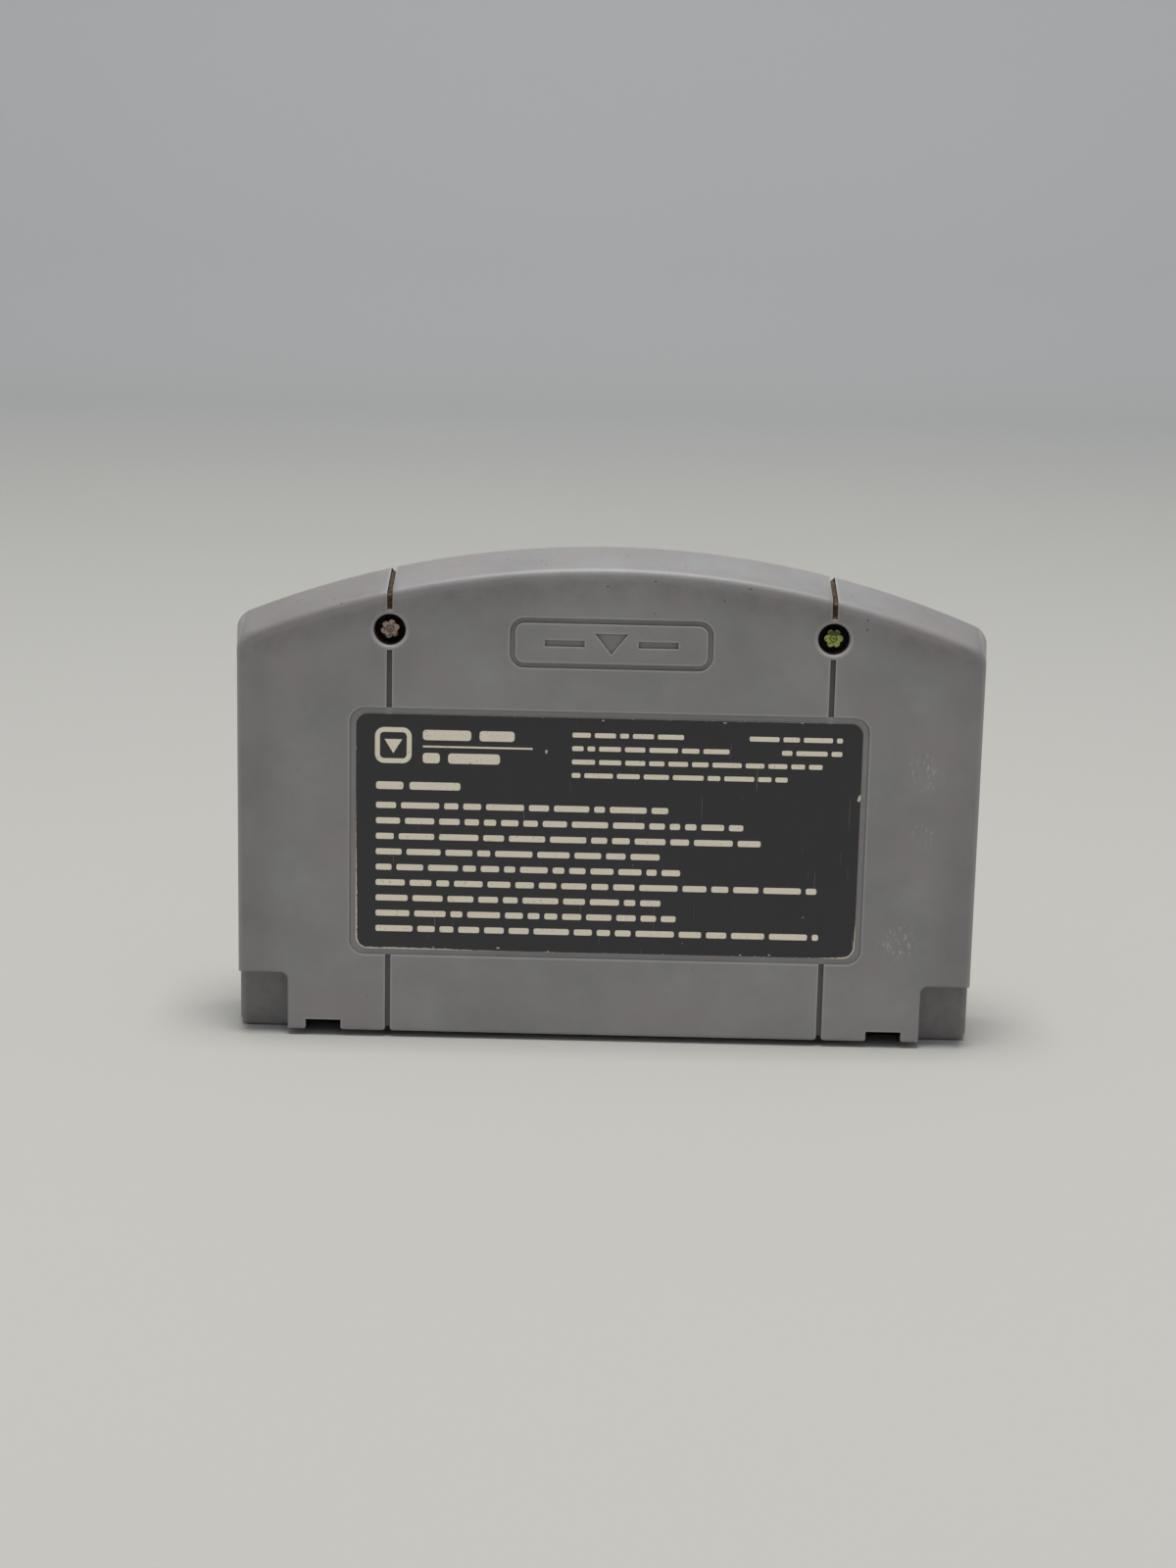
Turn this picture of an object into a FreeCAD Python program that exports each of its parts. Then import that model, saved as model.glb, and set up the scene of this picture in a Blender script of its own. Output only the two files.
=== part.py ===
import FreeCAD, Part
import math
import os

from FreeCAD import Vector

# Game cartridge standing on its connector edge, in millimetres.
# X runs along the width, Y through the thickness, Z up.
# The rear face looks along -Y, and the seam between the two shells lies on y = 0.

# Shells
body_width = 115.6
body_height = 76.5
rear_depth = 9.25
front_depth = 9.25
wall = 2.0
crown_radius = 146.5
shoulder_radius = 3.2
foot_radius = 1.8
inner_corner_radius = 0.8
side_flare = 1.05
top_flare = 2.25
rear_fold_radius = 1.0
front_fold_radius = 1.6
seam_bevel = 0.12

# Foot of the rear shell: recessed corners, legs and notches
foot_lift = 0.95
foot_step = 3.2
foot_trim = 0.02
foot_corner_radius = 0.5
corner_recess_width = 8.6
corner_recess_height = 10.0
corner_recess_depth = 4.6
corner_recess_radius = 1.2
corner_recess_rim = 0.5
corner_recess_foot_radius = 0.5
side_step = 0.3
leg_width = 2.8
leg_radius = 0.5
notch_width = 5.5
notch_height = 1.65
notch_depth = 7.0

# Grooves that run up the faces and over the top
groove_offset = 33.6
groove_width = 0.8
groove_depth = 0.7

# Case screws and their bosses
screw_drop = 12.1
bore_diameter = 4.8
bore_rim = 0.4
groove_stop_diameter = 6.2
head_sunk = 1.1
head_post_height = 2.4
head_core_diameter = 2.2
lobe_diameter = 1.0
lobe_reach = 1.42
lobe_count = 6
left_screw_turn = 16.0
right_screw_turn = 0.0
dimple_diameter = 0.6
dimple_depth = 0.3
flange_diameter = 4.4
flange_height = 0.8
shank_diameter = 2.5
shank_length = 10.0
shank_clearance = 0.1
pilot_clearance = 0.04
pilot_overrun = 0.6
rear_boss_diameter = 8.4
front_boss_diameter = 7.0

# Labels
rear_label_recess_width = 79.2
rear_label_recess_height = 39.1
rear_label_recess_bottom = 13.3
front_label_recess_width = 58.0
front_label_recess_height = 50.0
front_label_recess_bottom = 14.0
label_recess_depth = 0.35
label_recess_radius = 2.3
label_margin = 0.95
label_radius = 1.9
label_thickness = 0.15

# Insertion mark pressed into the rear face
mark_drop = 1.5
mark_width = 30.8
mark_height = 7.7
mark_radius = 2.2
mark_line = 0.8
mark_depth = 0.4
arrow_width = 5.0
arrow_height = 3.2
bar_length = 6.0
bar_height = 1.0
bar_gap = 1.6

# Connector mouth
mouth_width = 71.0
mouth_rim = 3.0
rib_thickness = 1.5

# Circuit board and its posts
board_thickness = 1.2
board_width = 84.0
board_shoulder = 17.0
board_boss_gap = 5.0
tongue_width = 64.5
tongue_bottom = 7.0
support_diameter = 4.0
support_inset = 2.4
contact_count = 25
contact_pitch = 2.5
contact_width = 1.5
contact_length = 8.0
contact_thickness = 0.1
contact_rise = 0.5

# Hooks that hold the foot of the two shells together
hook_clearance = 0.25
hook_thickness = 1.5
hook_reach = 5.0
hook_root = 3.0

# Shields
shield_sheet = 0.3
shield_rear_depth = 3.6
shield_front_depth = 3.8
shield_side_margin = 6.5
shield_end_margin = 2.5
shield_flange = 1.5
shield_corner_radius = 1.5
ear_diameter = 6.4
ear_inset = 3.4
shield_screw_diameter = 2.0
shield_screw_hole_clearance = 0.1
shield_screw_head_diameter = 3.8
shield_screw_head_height = 1.2
shield_screw_slot = 0.6
shield_screw_slot_depth = 0.5
collar_diameter = 3.4
collar_length = 1.4

# Chips: body length, width, thickness, leads on each long side, pitch, place across the board
# and level, a share of the shield's height
lead_sheet = 0.2
lead_width = 0.4
lead_foot = 0.8
lead_reach = 1.5
lead_standoff = 0.15
rom_length = 28.2
rom_width = 13.3
rom_thickness = 2.3
rom_leads_per_side = 22
rom_pitch = 1.27
rom_x = -8.0
rom_level = 0.58
lockout_length = 11.0
lockout_width = 7.5
lockout_thickness = 2.0
lockout_leads_per_side = 9
lockout_pitch = 1.1
lockout_x = 21.0
lockout_level = 0.66
save_length = 5.0
save_width = 4.4
save_thickness = 1.6
save_leads_per_side = 4
save_pitch = 1.27
save_x = 21.0
save_level = 0.25

# Small chip components in rows under the memory chip
capacitor_length = 2.0
capacitor_width = 1.25
capacitor_height = 0.9
capacitor_count = 5
capacitor_spacing = 5.0
capacitor_level = 0.17
resistor_length = 1.6
resistor_width = 0.8
resistor_height = 0.5
resistor_count = 4
resistor_spacing = 4.0
resistor_level = 0.08
terminal_length = 0.4

# Sizes that follow from the ones above
half_width = body_width / 2
rear_face = -rear_depth
front_face = front_depth
screw_height = body_height - screw_drop
ledge = rear_face + head_sunk + head_post_height + flange_height
leg_outer = half_width - corner_recess_width
notch_outer = leg_outer - leg_width
notch_middle = notch_outer - notch_width / 2
board_rear = -board_thickness / 2
board_front = board_thickness / 2
board_top = screw_height - rear_boss_diameter / 2 - board_boss_gap
board_half = board_width / 2
support_x = board_half - support_inset
support_heights = (board_shoulder + support_inset, board_top - support_inset)
ear_x = board_half - ear_inset
ear_height = (board_shoulder + board_top) / 2
shield_half = board_half - shield_side_margin
shield_bottom = board_shoulder + shield_end_margin
shield_top = board_top - shield_end_margin
far = 2 * (body_width + body_height)

# Lengths closer than this are the same
match = 1e-6


def box(x0, x1, y0, y1, z0, z1):
    """Block between two corners."""
    return Part.makeBox(x1 - x0, y1 - y0, z1 - z0, Vector(x0, y0, z0))


def rod(x, z, y0, y1, diameter):
    """Round rod along Y."""
    return Part.makeCylinder(diameter / 2, y1 - y0, Vector(x, y0, z), Vector(0, 1, 0))


def prism(points, y0, y1):
    """Straight-sided plate along Y with its corners at the given x and z."""
    corners = [Vector(x, y0, z) for x, z in points]
    return Part.Face(Part.makePolygon(corners + corners[:1])).extrude(Vector(0, y1 - y0, 0))


def rounded_plate(x, z, width, height, radius, y0, y1):
    """Plate along Y centred on x and z, with its four corners rounded."""
    plate = box(x - width / 2, x + width / 2, y0, y1, z - height / 2, z + height / 2)
    corners = [edge for edge in plate.Edges if edge.BoundBox.YLength > match]
    return plate.makeFillet(radius, corners)


def join(shapes):
    """One solid of several that meet."""
    return shapes[0].multiFuse(shapes[1:]).removeSplitter()


def group(shapes):
    """Separate solids in one node."""
    return Part.makeCompound(shapes)


def outline(y, half, top, bottom, crown, shoulder, foot):
    """Closed outline at depth y: flat foot, upright sides and arched top, with rounded corners."""
    arch_centre = top - crown
    shoulder_x = half - shoulder
    shoulder_z = arch_centre + math.sqrt((crown - shoulder) ** 2 - shoulder_x ** 2)
    stretch = crown / (crown - shoulder)
    arch_x = shoulder_x * stretch
    arch_z = arch_centre + (shoulder_z - arch_centre) * stretch
    half_turn = math.atan2(shoulder_z - arch_centre, shoulder_x) / 2
    bulge_x = shoulder_x + shoulder * math.cos(half_turn)
    bulge_z = shoulder_z + shoulder * math.sin(half_turn)
    foot_x = half - foot
    foot_cut = foot * (1 - math.sqrt(0.5))

    def line(start, end):
        return Part.LineSegment(Vector(start[0], y, start[1]), Vector(end[0], y, end[1])).toShape()

    def arc(start, middle, end):
        points = [Vector(x, y, z) for x, z in (start, middle, end)]
        return Part.Arc(*points).toShape()

    return Part.Wire([
        line((-foot_x, bottom), (foot_x, bottom)),
        arc((foot_x, bottom), (half - foot_cut, bottom + foot_cut), (half, bottom + foot)),
        line((half, bottom + foot), (half, shoulder_z)),
        arc((half, shoulder_z), (bulge_x, bulge_z), (arch_x, arch_z)),
        arc((arch_x, arch_z), (0, top), (-arch_x, arch_z)),
        arc((-arch_x, arch_z), (-bulge_x, bulge_z), (-half, shoulder_z)),
        line((-half, shoulder_z), (-half, bottom + foot)),
        arc((-half, bottom + foot), (foot_cut - half, bottom + foot_cut), (-foot_x, bottom)),
    ])


def flared_block(side, depth, inset=0.0, bottom=0.0, side_inset=0.0, bevel=0.0):
    """Half body from the seam out to one face, narrowing to the face, drawn in by inset."""
    radii = (
        crown_radius - inset,
        max(shoulder_radius - inset, inner_corner_radius),
        max(foot_radius - inset, inner_corner_radius),
    )

    def section(out, drawn_in):
        half = half_width - inset - side_inset - side_flare * out / depth - drawn_in
        top = body_height - inset - top_flare * out / depth - drawn_in
        return outline(side * out, half, top, bottom, *radii)

    sections = [section(0, bevel), section(depth - inset, 0)]
    if bevel:
        sections.insert(1, section(bevel, 0))
    return Part.makeLoft(sections, True, True)


def edges_at(shape, y):
    """Edges of a shape that lie at depth y."""
    return [edge for edge in shape.Edges if all(abs(v.Point.y - y) < match for v in edge.Vertexes)]


def outer_block(side, depth, fold, lift):
    """Outside of one shell, stepped in beside the recessed corners and lifted at the foot of its face."""
    face = side * depth
    split = corner_recess_height
    step = side * (depth - foot_step)

    def rounded(block, radius):
        return block.makeFillet(radius, edges_at(block, face))

    upper = rounded(flared_block(side, depth, bevel=seam_bevel), fold)
    inner = flared_block(side, depth, side_inset=side_step, bottom=-foot_trim, bevel=seam_bevel)
    outer = rounded(flared_block(side, depth, side_inset=side_step, bottom=lift - foot_trim), leg_radius)
    near, away = sorted((0, step))
    start, end = sorted((step, side * far))
    return join([
        upper.common(box(-far, far, -far, far, split, far)),
        inner.common(box(-far, far, near, away, 0, split)),
        outer.common(box(-far, far, start, end, lift, split)),
    ])


def groove_cutters(side, depth, fold, stops):
    """Two grooves of one depth that run up the face, over the fold and on to the seam."""
    floor = flared_block(side, depth, inset=groove_depth, bottom=-groove_width)
    floor = floor.makeFillet(fold - groove_depth, edges_at(floor, side * (depth - groove_depth)))
    cutters = []
    for x in (-groove_offset, groove_offset):
        near, away = sorted((0, side * (depth + groove_width)))
        column = box(x - groove_width / 2, x + groove_width / 2, near, away, -groove_width, far)
        cutters.append(column.cut([floor] + stops))
    return cutters


def corner_recess(side):
    """Space cut from a lower corner of the rear shell, with its inner top corner and its rim rounded."""

    def space(grow, depth):
        inside = side * (leg_outer - grow)
        top = corner_recess_height + grow
        near, away = sorted((inside, side * far))
        block = box(near, away, -far, rear_face + depth, -far, top)
        corner = [
            edge for edge in block.Edges
            if abs(edge.CenterOfMass.x - inside) < match and abs(edge.CenterOfMass.z - top) < match
        ]
        return block.makeFillet(corner_recess_radius + grow, corner)

    deep = space(0, corner_recess_depth)
    flared = join([deep, space(2 * corner_recess_rim, 0)])
    rim = [edge for edge in edges_at(flared, rear_face) if deep.isInside(edge.CenterOfMass, match, True)]
    return flared.makeFillet(corner_recess_rim, rim)


def corner_recess_foot(side):
    """Space cut from the lower edge of a recessed corner's face to round it."""
    radius = corner_recess_foot_radius
    face = rear_face + corner_recess_depth
    near, away = sorted((side * leg_outer, side * far))
    edge = box(near, away, face, face + radius, -radius, radius)
    rounding = Part.makeCylinder(radius, away - near, Vector(near, face + radius, radius), Vector(1, 0, 0))
    return edge.cut(rounding)


def foot_rounding(x, toward, depth):
    """Space cut from a lower corner of the rear wall to round it, at x and on the side it runs toward."""
    near, away = sorted((x, x + toward * foot_corner_radius))
    middle = foot_lift + foot_corner_radius
    start = rear_face - wall
    end = rear_face + depth
    corner = box(near, away, start, end, foot_lift - foot_trim, middle)
    return corner.cut(rod(x + toward * foot_corner_radius, middle, start, end, 2 * foot_corner_radius))


def mark_cutters():
    """Frame line with an arrow that points down to the foot, between two bars."""
    z = screw_height - mark_drop
    bottom = rear_face + mark_depth
    top = rear_face - mark_depth
    outside = rounded_plate(0, z, mark_width, mark_height, mark_radius, top, bottom)
    inside = rounded_plate(
        0, z, mark_width - 2 * mark_line, mark_height - 2 * mark_line, mark_radius - mark_line, top, bottom)
    arrow_half = arrow_width / 2
    arrow_top = z + arrow_height / 2
    arrow = prism(
        [(-arrow_half, arrow_top), (arrow_half, arrow_top), (0, arrow_top - arrow_height)], top, bottom)
    bars = []
    for side in (-1, 1):
        start = arrow_half + bar_gap
        near, away = sorted((side * start, side * (start + bar_length)))
        bars.append(box(near, away, top, bottom, z - bar_height / 2, z + bar_height / 2))
    return [outside.cut(inside), arrow] + bars


def mouth():
    """Opening in the foot through which the connector reaches the board."""
    return box(
        -mouth_width / 2, mouth_width / 2, rear_face + mouth_rim, front_face - mouth_rim,
        -wall, wall)


def board_supports(inner_face):
    """Ribs at the ends of the mouth and posts that hold the board, on the inner face of one shell."""
    board_face = math.copysign(board_thickness / 2, inner_face)
    rib_near, rib_away = sorted((0, inner_face))
    post_near, post_away = sorted((board_face, inner_face))
    pieces = []
    for side in (-1, 1):
        near, away = sorted((side * mouth_width / 2, side * (mouth_width / 2 + rib_thickness)))
        pieces.append(box(near, away, rib_near, rib_away, wall / 2, board_shoulder))
        for z in support_heights:
            pieces.append(rod(side * support_x, z, post_near, post_away, support_diameter))
    return pieces


def bosses(y0, y1, diameter):
    """Two round bosses on the axes of the case screws."""
    return [rod(side * groove_offset, screw_height, y0, y1, diameter) for side in (-1, 1)]


def bore_ring(x):
    """Ring of wall round a screw bore, with its rim rounded."""
    ring = rod(x, screw_height, rear_face, ledge, groove_stop_diameter)
    ring = ring.cut(rod(x, screw_height, rear_face, ledge, bore_diameter))
    radius = bore_diameter / 2
    rim = [edge for edge in edges_at(ring, rear_face) if abs(edge.Curve.Radius - radius) < match]
    return ring.makeFillet(bore_rim, rim)


def rear_shell():
    """Rear half: label recess, screw bores with bosses, grooves, mark, legs and notches."""
    inner_face = rear_face + wall
    solid = outer_block(-1, rear_depth, rear_fold_radius, foot_lift)
    cavity = flared_block(-1, rear_depth, inset=wall, bottom=wall)
    backing_depth = rear_face + corner_recess_depth + wall
    for side in (-1, 1):
        near, away = sorted((side * (leg_outer - wall), side * far))
        cavity = cavity.cut(box(near, away, -far, backing_depth, -far, corner_recess_height + wall))
    hollow = solid.cut([cavity, mouth()])
    screw_bosses = bosses(inner_face - wall / 2, 0, rear_boss_diameter)
    shell = join([hollow] + screw_bosses + board_supports(inner_face))

    recess_middle = rear_label_recess_bottom + rear_label_recess_height / 2
    recess = rounded_plate(
        0, recess_middle, rear_label_recess_width, rear_label_recess_height, label_recess_radius,
        rear_face - wall, rear_face + label_recess_depth)
    stops = bosses(-far, inner_face, groove_stop_diameter)
    stops.append(recess.translated(Vector(0, wall, 0)).fuse(recess))
    cuts = groove_cutters(-1, rear_depth, rear_fold_radius, stops) + mark_cutters() + [recess]
    cuts += bosses(rear_face - wall, ledge, groove_stop_diameter)
    cuts += bosses(ledge - wall, wall, shank_diameter + 2 * shank_clearance)
    for side in (-1, 1):
        notch_inner = notch_outer - notch_width
        near, away = sorted((side * notch_outer, side * notch_inner))
        cuts.append(corner_recess(side))
        cuts.append(box(
            near, away, rear_face - wall, rear_face + notch_depth, -wall, foot_lift + notch_height))
        cuts.append(corner_recess_foot(side))
        cuts.append(foot_rounding(side * leg_outer, -side, foot_step))
        cuts.append(foot_rounding(side * notch_outer, side, foot_step))
        cuts.append(foot_rounding(side * notch_inner, -side, foot_step))
        cuts.append(foot_rounding(side * (groove_offset + groove_width / 2), side, groove_depth))
        cuts.append(foot_rounding(side * (groove_offset - groove_width / 2), -side, groove_depth))
    return join([shell.cut(cuts)] + [bore_ring(side * groove_offset) for side in (-1, 1)])


def front_shell():
    """Front half: label recess, grooves, screw pilots, board posts and foot hooks."""
    inner_face = front_face - wall
    solid = outer_block(1, front_depth, front_fold_radius, 0)
    cavity = flared_block(1, front_depth, inset=wall, bottom=wall)
    hollow = solid.cut([cavity, mouth()])
    hooks = []
    half_hook = notch_width / 2 - hook_clearance
    for side in (-1, 1):
        hooks.append(box(
            side * notch_middle - half_hook, side * notch_middle + half_hook,
            -hook_reach, hook_root, wall, wall + hook_thickness))
    screw_bosses = bosses(0, inner_face + wall / 2, front_boss_diameter)
    shell = join([hollow] + screw_bosses + hooks + board_supports(inner_face))

    recess_middle = front_label_recess_bottom + front_label_recess_height / 2
    recess = rounded_plate(
        0, recess_middle, front_label_recess_width, front_label_recess_height, label_recess_radius,
        front_face - label_recess_depth, front_face + wall)
    cuts = groove_cutters(1, front_depth, front_fold_radius, []) + [recess]
    pilot_end = ledge + shank_length + pilot_overrun
    cuts += bosses(-wall, pilot_end, shank_diameter + 2 * pilot_clearance)
    return shell.cut(cuts)


def label(bottom, width, height, face, side):
    """Thin label on the floor of its recess."""
    floor = face - side * label_recess_depth
    near, away = sorted((floor, floor + side * label_thickness))
    return rounded_plate(
        0, bottom + height / 2, width - 2 * label_margin, height - 2 * label_margin,
        label_radius, near, away)


def case_screws():
    """Two screws with a lobed post on a round flange, as made for a special driver."""
    screws = []
    flange_top = ledge - flange_height
    post_top = flange_top - head_post_height
    lobe_centre = lobe_reach - lobe_diameter / 2
    for x, turn in ((-groove_offset, left_screw_turn), (groove_offset, right_screw_turn)):
        pieces = [
            rod(x, screw_height, post_top, flange_top, head_core_diameter),
            rod(x, screw_height, flange_top, ledge, flange_diameter),
            rod(x, screw_height, ledge, ledge + shank_length, shank_diameter),
        ]
        for number in range(lobe_count):
            angle = math.radians(turn) + 2 * math.pi * number / lobe_count
            lobe_x = x + lobe_centre * math.cos(angle)
            lobe_z = screw_height + lobe_centre * math.sin(angle)
            pieces.append(rod(lobe_x, lobe_z, post_top, flange_top, lobe_diameter))
        dimple = Part.makeCone(
            dimple_diameter / 2, 0, dimple_depth, Vector(x, post_top, screw_height), Vector(0, 1, 0))
        screws.append(join(pieces).cut(dimple))
    return group(screws)


def circuit_board():
    """Board with a narrower tongue below and holes for the shield screws."""
    body = box(-board_half, board_half, board_rear, board_front, board_shoulder, board_top)
    tongue = box(
        -tongue_width / 2, tongue_width / 2, board_rear, board_front, tongue_bottom, board_shoulder)
    hole = shield_screw_diameter + 2 * shield_screw_hole_clearance
    start = board_rear - wall
    end = board_front + wall
    holes = [rod(side * ear_x, ear_height, start, end, hole) for side in (-1, 1)]
    return join([body, tongue]).cut(holes)


def edge_contacts():
    """Plated contacts in one row on each side of the tongue."""
    bottom = tongue_bottom + contact_rise
    contacts = []
    for number in range(contact_count):
        x = (number - (contact_count - 1) / 2) * contact_pitch
        for y0 in (board_rear - contact_thickness, board_front):
            contacts.append(box(
                x - contact_width / 2, x + contact_width / 2, y0, y0 + contact_thickness,
                bottom, bottom + contact_length))
    return group(contacts)


def at_level(share):
    """Height above the foot of a share of the shield's height."""
    return shield_bottom + share * (shield_top - shield_bottom)


def chip_body(x, level, length, width, thickness):
    """Moulded chip body that stands just off the board."""
    z = at_level(level)
    near = board_front + lead_standoff
    return box(x - length / 2, x + length / 2, near, near + thickness, z - width / 2, z + width / 2)


def chip_leads(x, level, width, thickness, count, pitch):
    """Bent leads from the middle of the two long sides down to the board."""
    z = at_level(level)
    middle = board_front + lead_standoff + thickness / 2
    leads = []
    for side in (-1, 1):
        root = width / 2
        knee = root + lead_reach - lead_foot
        toe = root + lead_reach
        profile = [
            (middle + lead_sheet / 2, root), (middle + lead_sheet / 2, knee),
            (board_front + lead_sheet, knee), (board_front + lead_sheet, toe),
            (board_front, toe), (board_front, knee - lead_sheet),
            (middle - lead_sheet / 2, knee - lead_sheet), (middle - lead_sheet / 2, root),
        ]
        for number in range(count):
            start = x + (number - (count - 1) / 2) * pitch - lead_width / 2
            corners = [Vector(start, y, z + side * out) for y, out in profile]
            face = Part.Face(Part.makePolygon(corners + corners[:1]))
            leads.append(face.extrude(Vector(lead_width, 0, 0)))
    return group(leads)


def chip_component_row(level, length, width, height, count, spacing):
    """Small two-ended components in a row, as bodies and as metal ends."""
    z = at_level(level)
    bodies = []
    ends = []
    for number in range(count):
        x = rom_x + (number - (count - 1) / 2) * spacing
        inner = length / 2 - terminal_length
        near, away = board_front, board_front + height
        bodies.append(box(x - inner, x + inner, near, away, z - width / 2, z + width / 2))
        ends.append(box(x - length / 2, x - inner, near, away, z - width / 2, z + width / 2))
        ends.append(box(x + inner, x + length / 2, near, away, z - width / 2, z + width / 2))
    return group(bodies), group(ends)


def shield_tray(side, depth):
    """Pressed sheet tray whose flange and ears lie on the board."""
    board_face = side * board_thickness / 2
    height = shield_top - shield_bottom
    middle = (shield_top + shield_bottom) / 2

    def plate(grow, start, end):
        near, away = sorted((board_face + side * start, board_face + side * end))
        return rounded_plate(
            0, middle, 2 * (shield_half + grow), height + 2 * grow, shield_corner_radius + grow, near, away)

    def ear(diameter, start, end):
        near, away = sorted((board_face + side * start, board_face + side * end))
        return [rod(sign * ear_x, ear_height, near, away, diameter) for sign in (-1, 1)]

    outside = plate(0, 0, depth)
    inside = plate(-shield_sheet, -shield_sheet, depth - shield_sheet)
    solid = join([outside, plate(shield_flange, 0, shield_sheet)] + ear(ear_diameter, 0, shield_sheet))
    if side < 0:
        solid = join([solid] + ear(collar_diameter, 0, collar_length))
    hole = shield_screw_diameter + 2 * shield_screw_hole_clearance
    return solid.cut([inside] + ear(hole, -shield_sheet, depth))


def shield_screws():
    """Two slotted screws through front shield and board into the rear shield's collars."""
    head_under = board_front + shield_sheet
    head_top = head_under + shield_screw_head_height
    tip = board_rear - collar_length
    screws = []
    for side in (-1, 1):
        x = side * ear_x
        head = rod(x, ear_height, head_under, head_top, shield_screw_head_diameter)
        shank = rod(x, ear_height, tip, head_under, shield_screw_diameter)
        reach = shield_screw_head_diameter
        slot = box(
            x - reach, x + reach, head_top - shield_screw_slot_depth, head_top + reach,
            ear_height - shield_screw_slot / 2, ear_height + shield_screw_slot / 2)
        screws.append(join([head, shank]).cut(slot))
    return group(screws)


def nodes():
    """Every piece of the cartridge by name."""
    rom = (rom_x, rom_level, rom_length, rom_width, rom_thickness)
    lockout = (lockout_x, lockout_level, lockout_length, lockout_width, lockout_thickness)
    save = (save_x, save_level, save_length, save_width, save_thickness)
    capacitors, capacitor_ends = chip_component_row(
        capacitor_level, capacitor_length, capacitor_width, capacitor_height,
        capacitor_count, capacitor_spacing)
    resistors, resistor_ends = chip_component_row(
        resistor_level, resistor_length, resistor_width, resistor_height,
        resistor_count, resistor_spacing)
    return {
        "rear_shell": rear_shell(),
        "front_shell": front_shell(),
        "rear_label": label(
            rear_label_recess_bottom, rear_label_recess_width, rear_label_recess_height, rear_face, -1),
        "front_label": label(
            front_label_recess_bottom, front_label_recess_width, front_label_recess_height, front_face, 1),
        "case_screws": case_screws(),
        "circuit_board": circuit_board(),
        "edge_contacts": edge_contacts(),
        "rom_chip": chip_body(*rom),
        "rom_chip_leads": chip_leads(
            rom_x, rom_level, rom_width, rom_thickness, rom_leads_per_side, rom_pitch),
        "lockout_chip": chip_body(*lockout),
        "lockout_chip_leads": chip_leads(
            lockout_x, lockout_level, lockout_width, lockout_thickness,
            lockout_leads_per_side, lockout_pitch),
        "save_chip": chip_body(*save),
        "save_chip_leads": chip_leads(
            save_x, save_level, save_width, save_thickness, save_leads_per_side, save_pitch),
        "filter_capacitors": capacitors,
        "capacitor_ends": capacitor_ends,
        "resistors": resistors,
        "resistor_ends": resistor_ends,
        "rear_shield": shield_tray(-1, shield_rear_depth),
        "front_shield": shield_tray(1, shield_front_depth),
        "shield_screws": shield_screws(),
    }


os.makedirs("parts", exist_ok=True)
for name, shape in nodes().items():
    shape.exportStep(f"parts/{name}.step")
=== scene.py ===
import math
from functools import partial
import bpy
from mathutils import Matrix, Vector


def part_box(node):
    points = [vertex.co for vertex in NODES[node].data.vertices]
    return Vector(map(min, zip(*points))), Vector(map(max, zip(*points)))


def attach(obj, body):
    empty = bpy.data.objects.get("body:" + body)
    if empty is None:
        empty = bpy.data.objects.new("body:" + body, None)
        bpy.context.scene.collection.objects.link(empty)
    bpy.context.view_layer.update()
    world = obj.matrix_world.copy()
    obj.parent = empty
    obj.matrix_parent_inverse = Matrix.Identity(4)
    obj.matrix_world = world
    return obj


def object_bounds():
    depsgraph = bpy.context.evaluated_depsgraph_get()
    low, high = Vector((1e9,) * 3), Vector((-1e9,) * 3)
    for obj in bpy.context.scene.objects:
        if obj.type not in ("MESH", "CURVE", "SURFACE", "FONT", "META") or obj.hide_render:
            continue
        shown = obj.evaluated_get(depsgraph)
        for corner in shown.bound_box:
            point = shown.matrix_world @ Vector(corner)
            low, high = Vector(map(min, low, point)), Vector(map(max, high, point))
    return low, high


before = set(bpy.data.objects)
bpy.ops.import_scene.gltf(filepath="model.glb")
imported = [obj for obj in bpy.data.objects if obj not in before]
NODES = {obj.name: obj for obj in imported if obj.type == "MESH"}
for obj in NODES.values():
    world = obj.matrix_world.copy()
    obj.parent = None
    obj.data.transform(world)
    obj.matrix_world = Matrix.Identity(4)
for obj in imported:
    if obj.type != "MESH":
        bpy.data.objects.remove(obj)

from types import SimpleNamespace

import bpy
import numpy as np
from bpy.props import FloatProperty, FloatVectorProperty, PointerProperty
from mathutils import Matrix, Vector

bl_info = {
    "name": "Game Cartridge Finish",
    "version": (1, 0, 0),
    "blender": (4, 5, 0),
    "location": "View3D > Sidebar > Cartridge",
    "description": "Moulded, printed and tarnished surfaces for a game cartridge, and a studio to stand in",
    "category": "Object",
}

MM = 0.001
CAD_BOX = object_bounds()

# Settings that many shader nodes share
SMOOTH = {"interpolation_type": "SMOOTHSTEP"}
COLOURS = {"data_type": "RGBA"}

# Places on the object, in millimetres, read from the imported model.glb
REAR_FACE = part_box("rear_shell")[0][1] / MM
FRONT_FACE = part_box("front_shell")[1][1] / MM
SCREW_LOW, SCREW_HIGH = (np.array(corner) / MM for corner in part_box("case_screws"))
SCREW_Z = (SCREW_LOW[2] + SCREW_HIGH[2]) / 2
SCREW_X = SCREW_HIGH[0] - (SCREW_HIGH[2] - SCREW_LOW[2]) / 2
REAR_LABEL = [np.array(corner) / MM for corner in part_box("rear_label")]
LABEL_LEFT, LABEL_FACE, LABEL_BOTTOM = REAR_LABEL[0]
LABEL_RIGHT, _, LABEL_TOP = REAR_LABEL[1]
FRONT_LABEL = [np.array(corner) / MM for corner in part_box("front_label")]

# Fold between the rear face and the arched top: centre and radius of its arc
FOLD_RADIUS = 145.5
ARCH_CENTRE = -72.25

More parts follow.
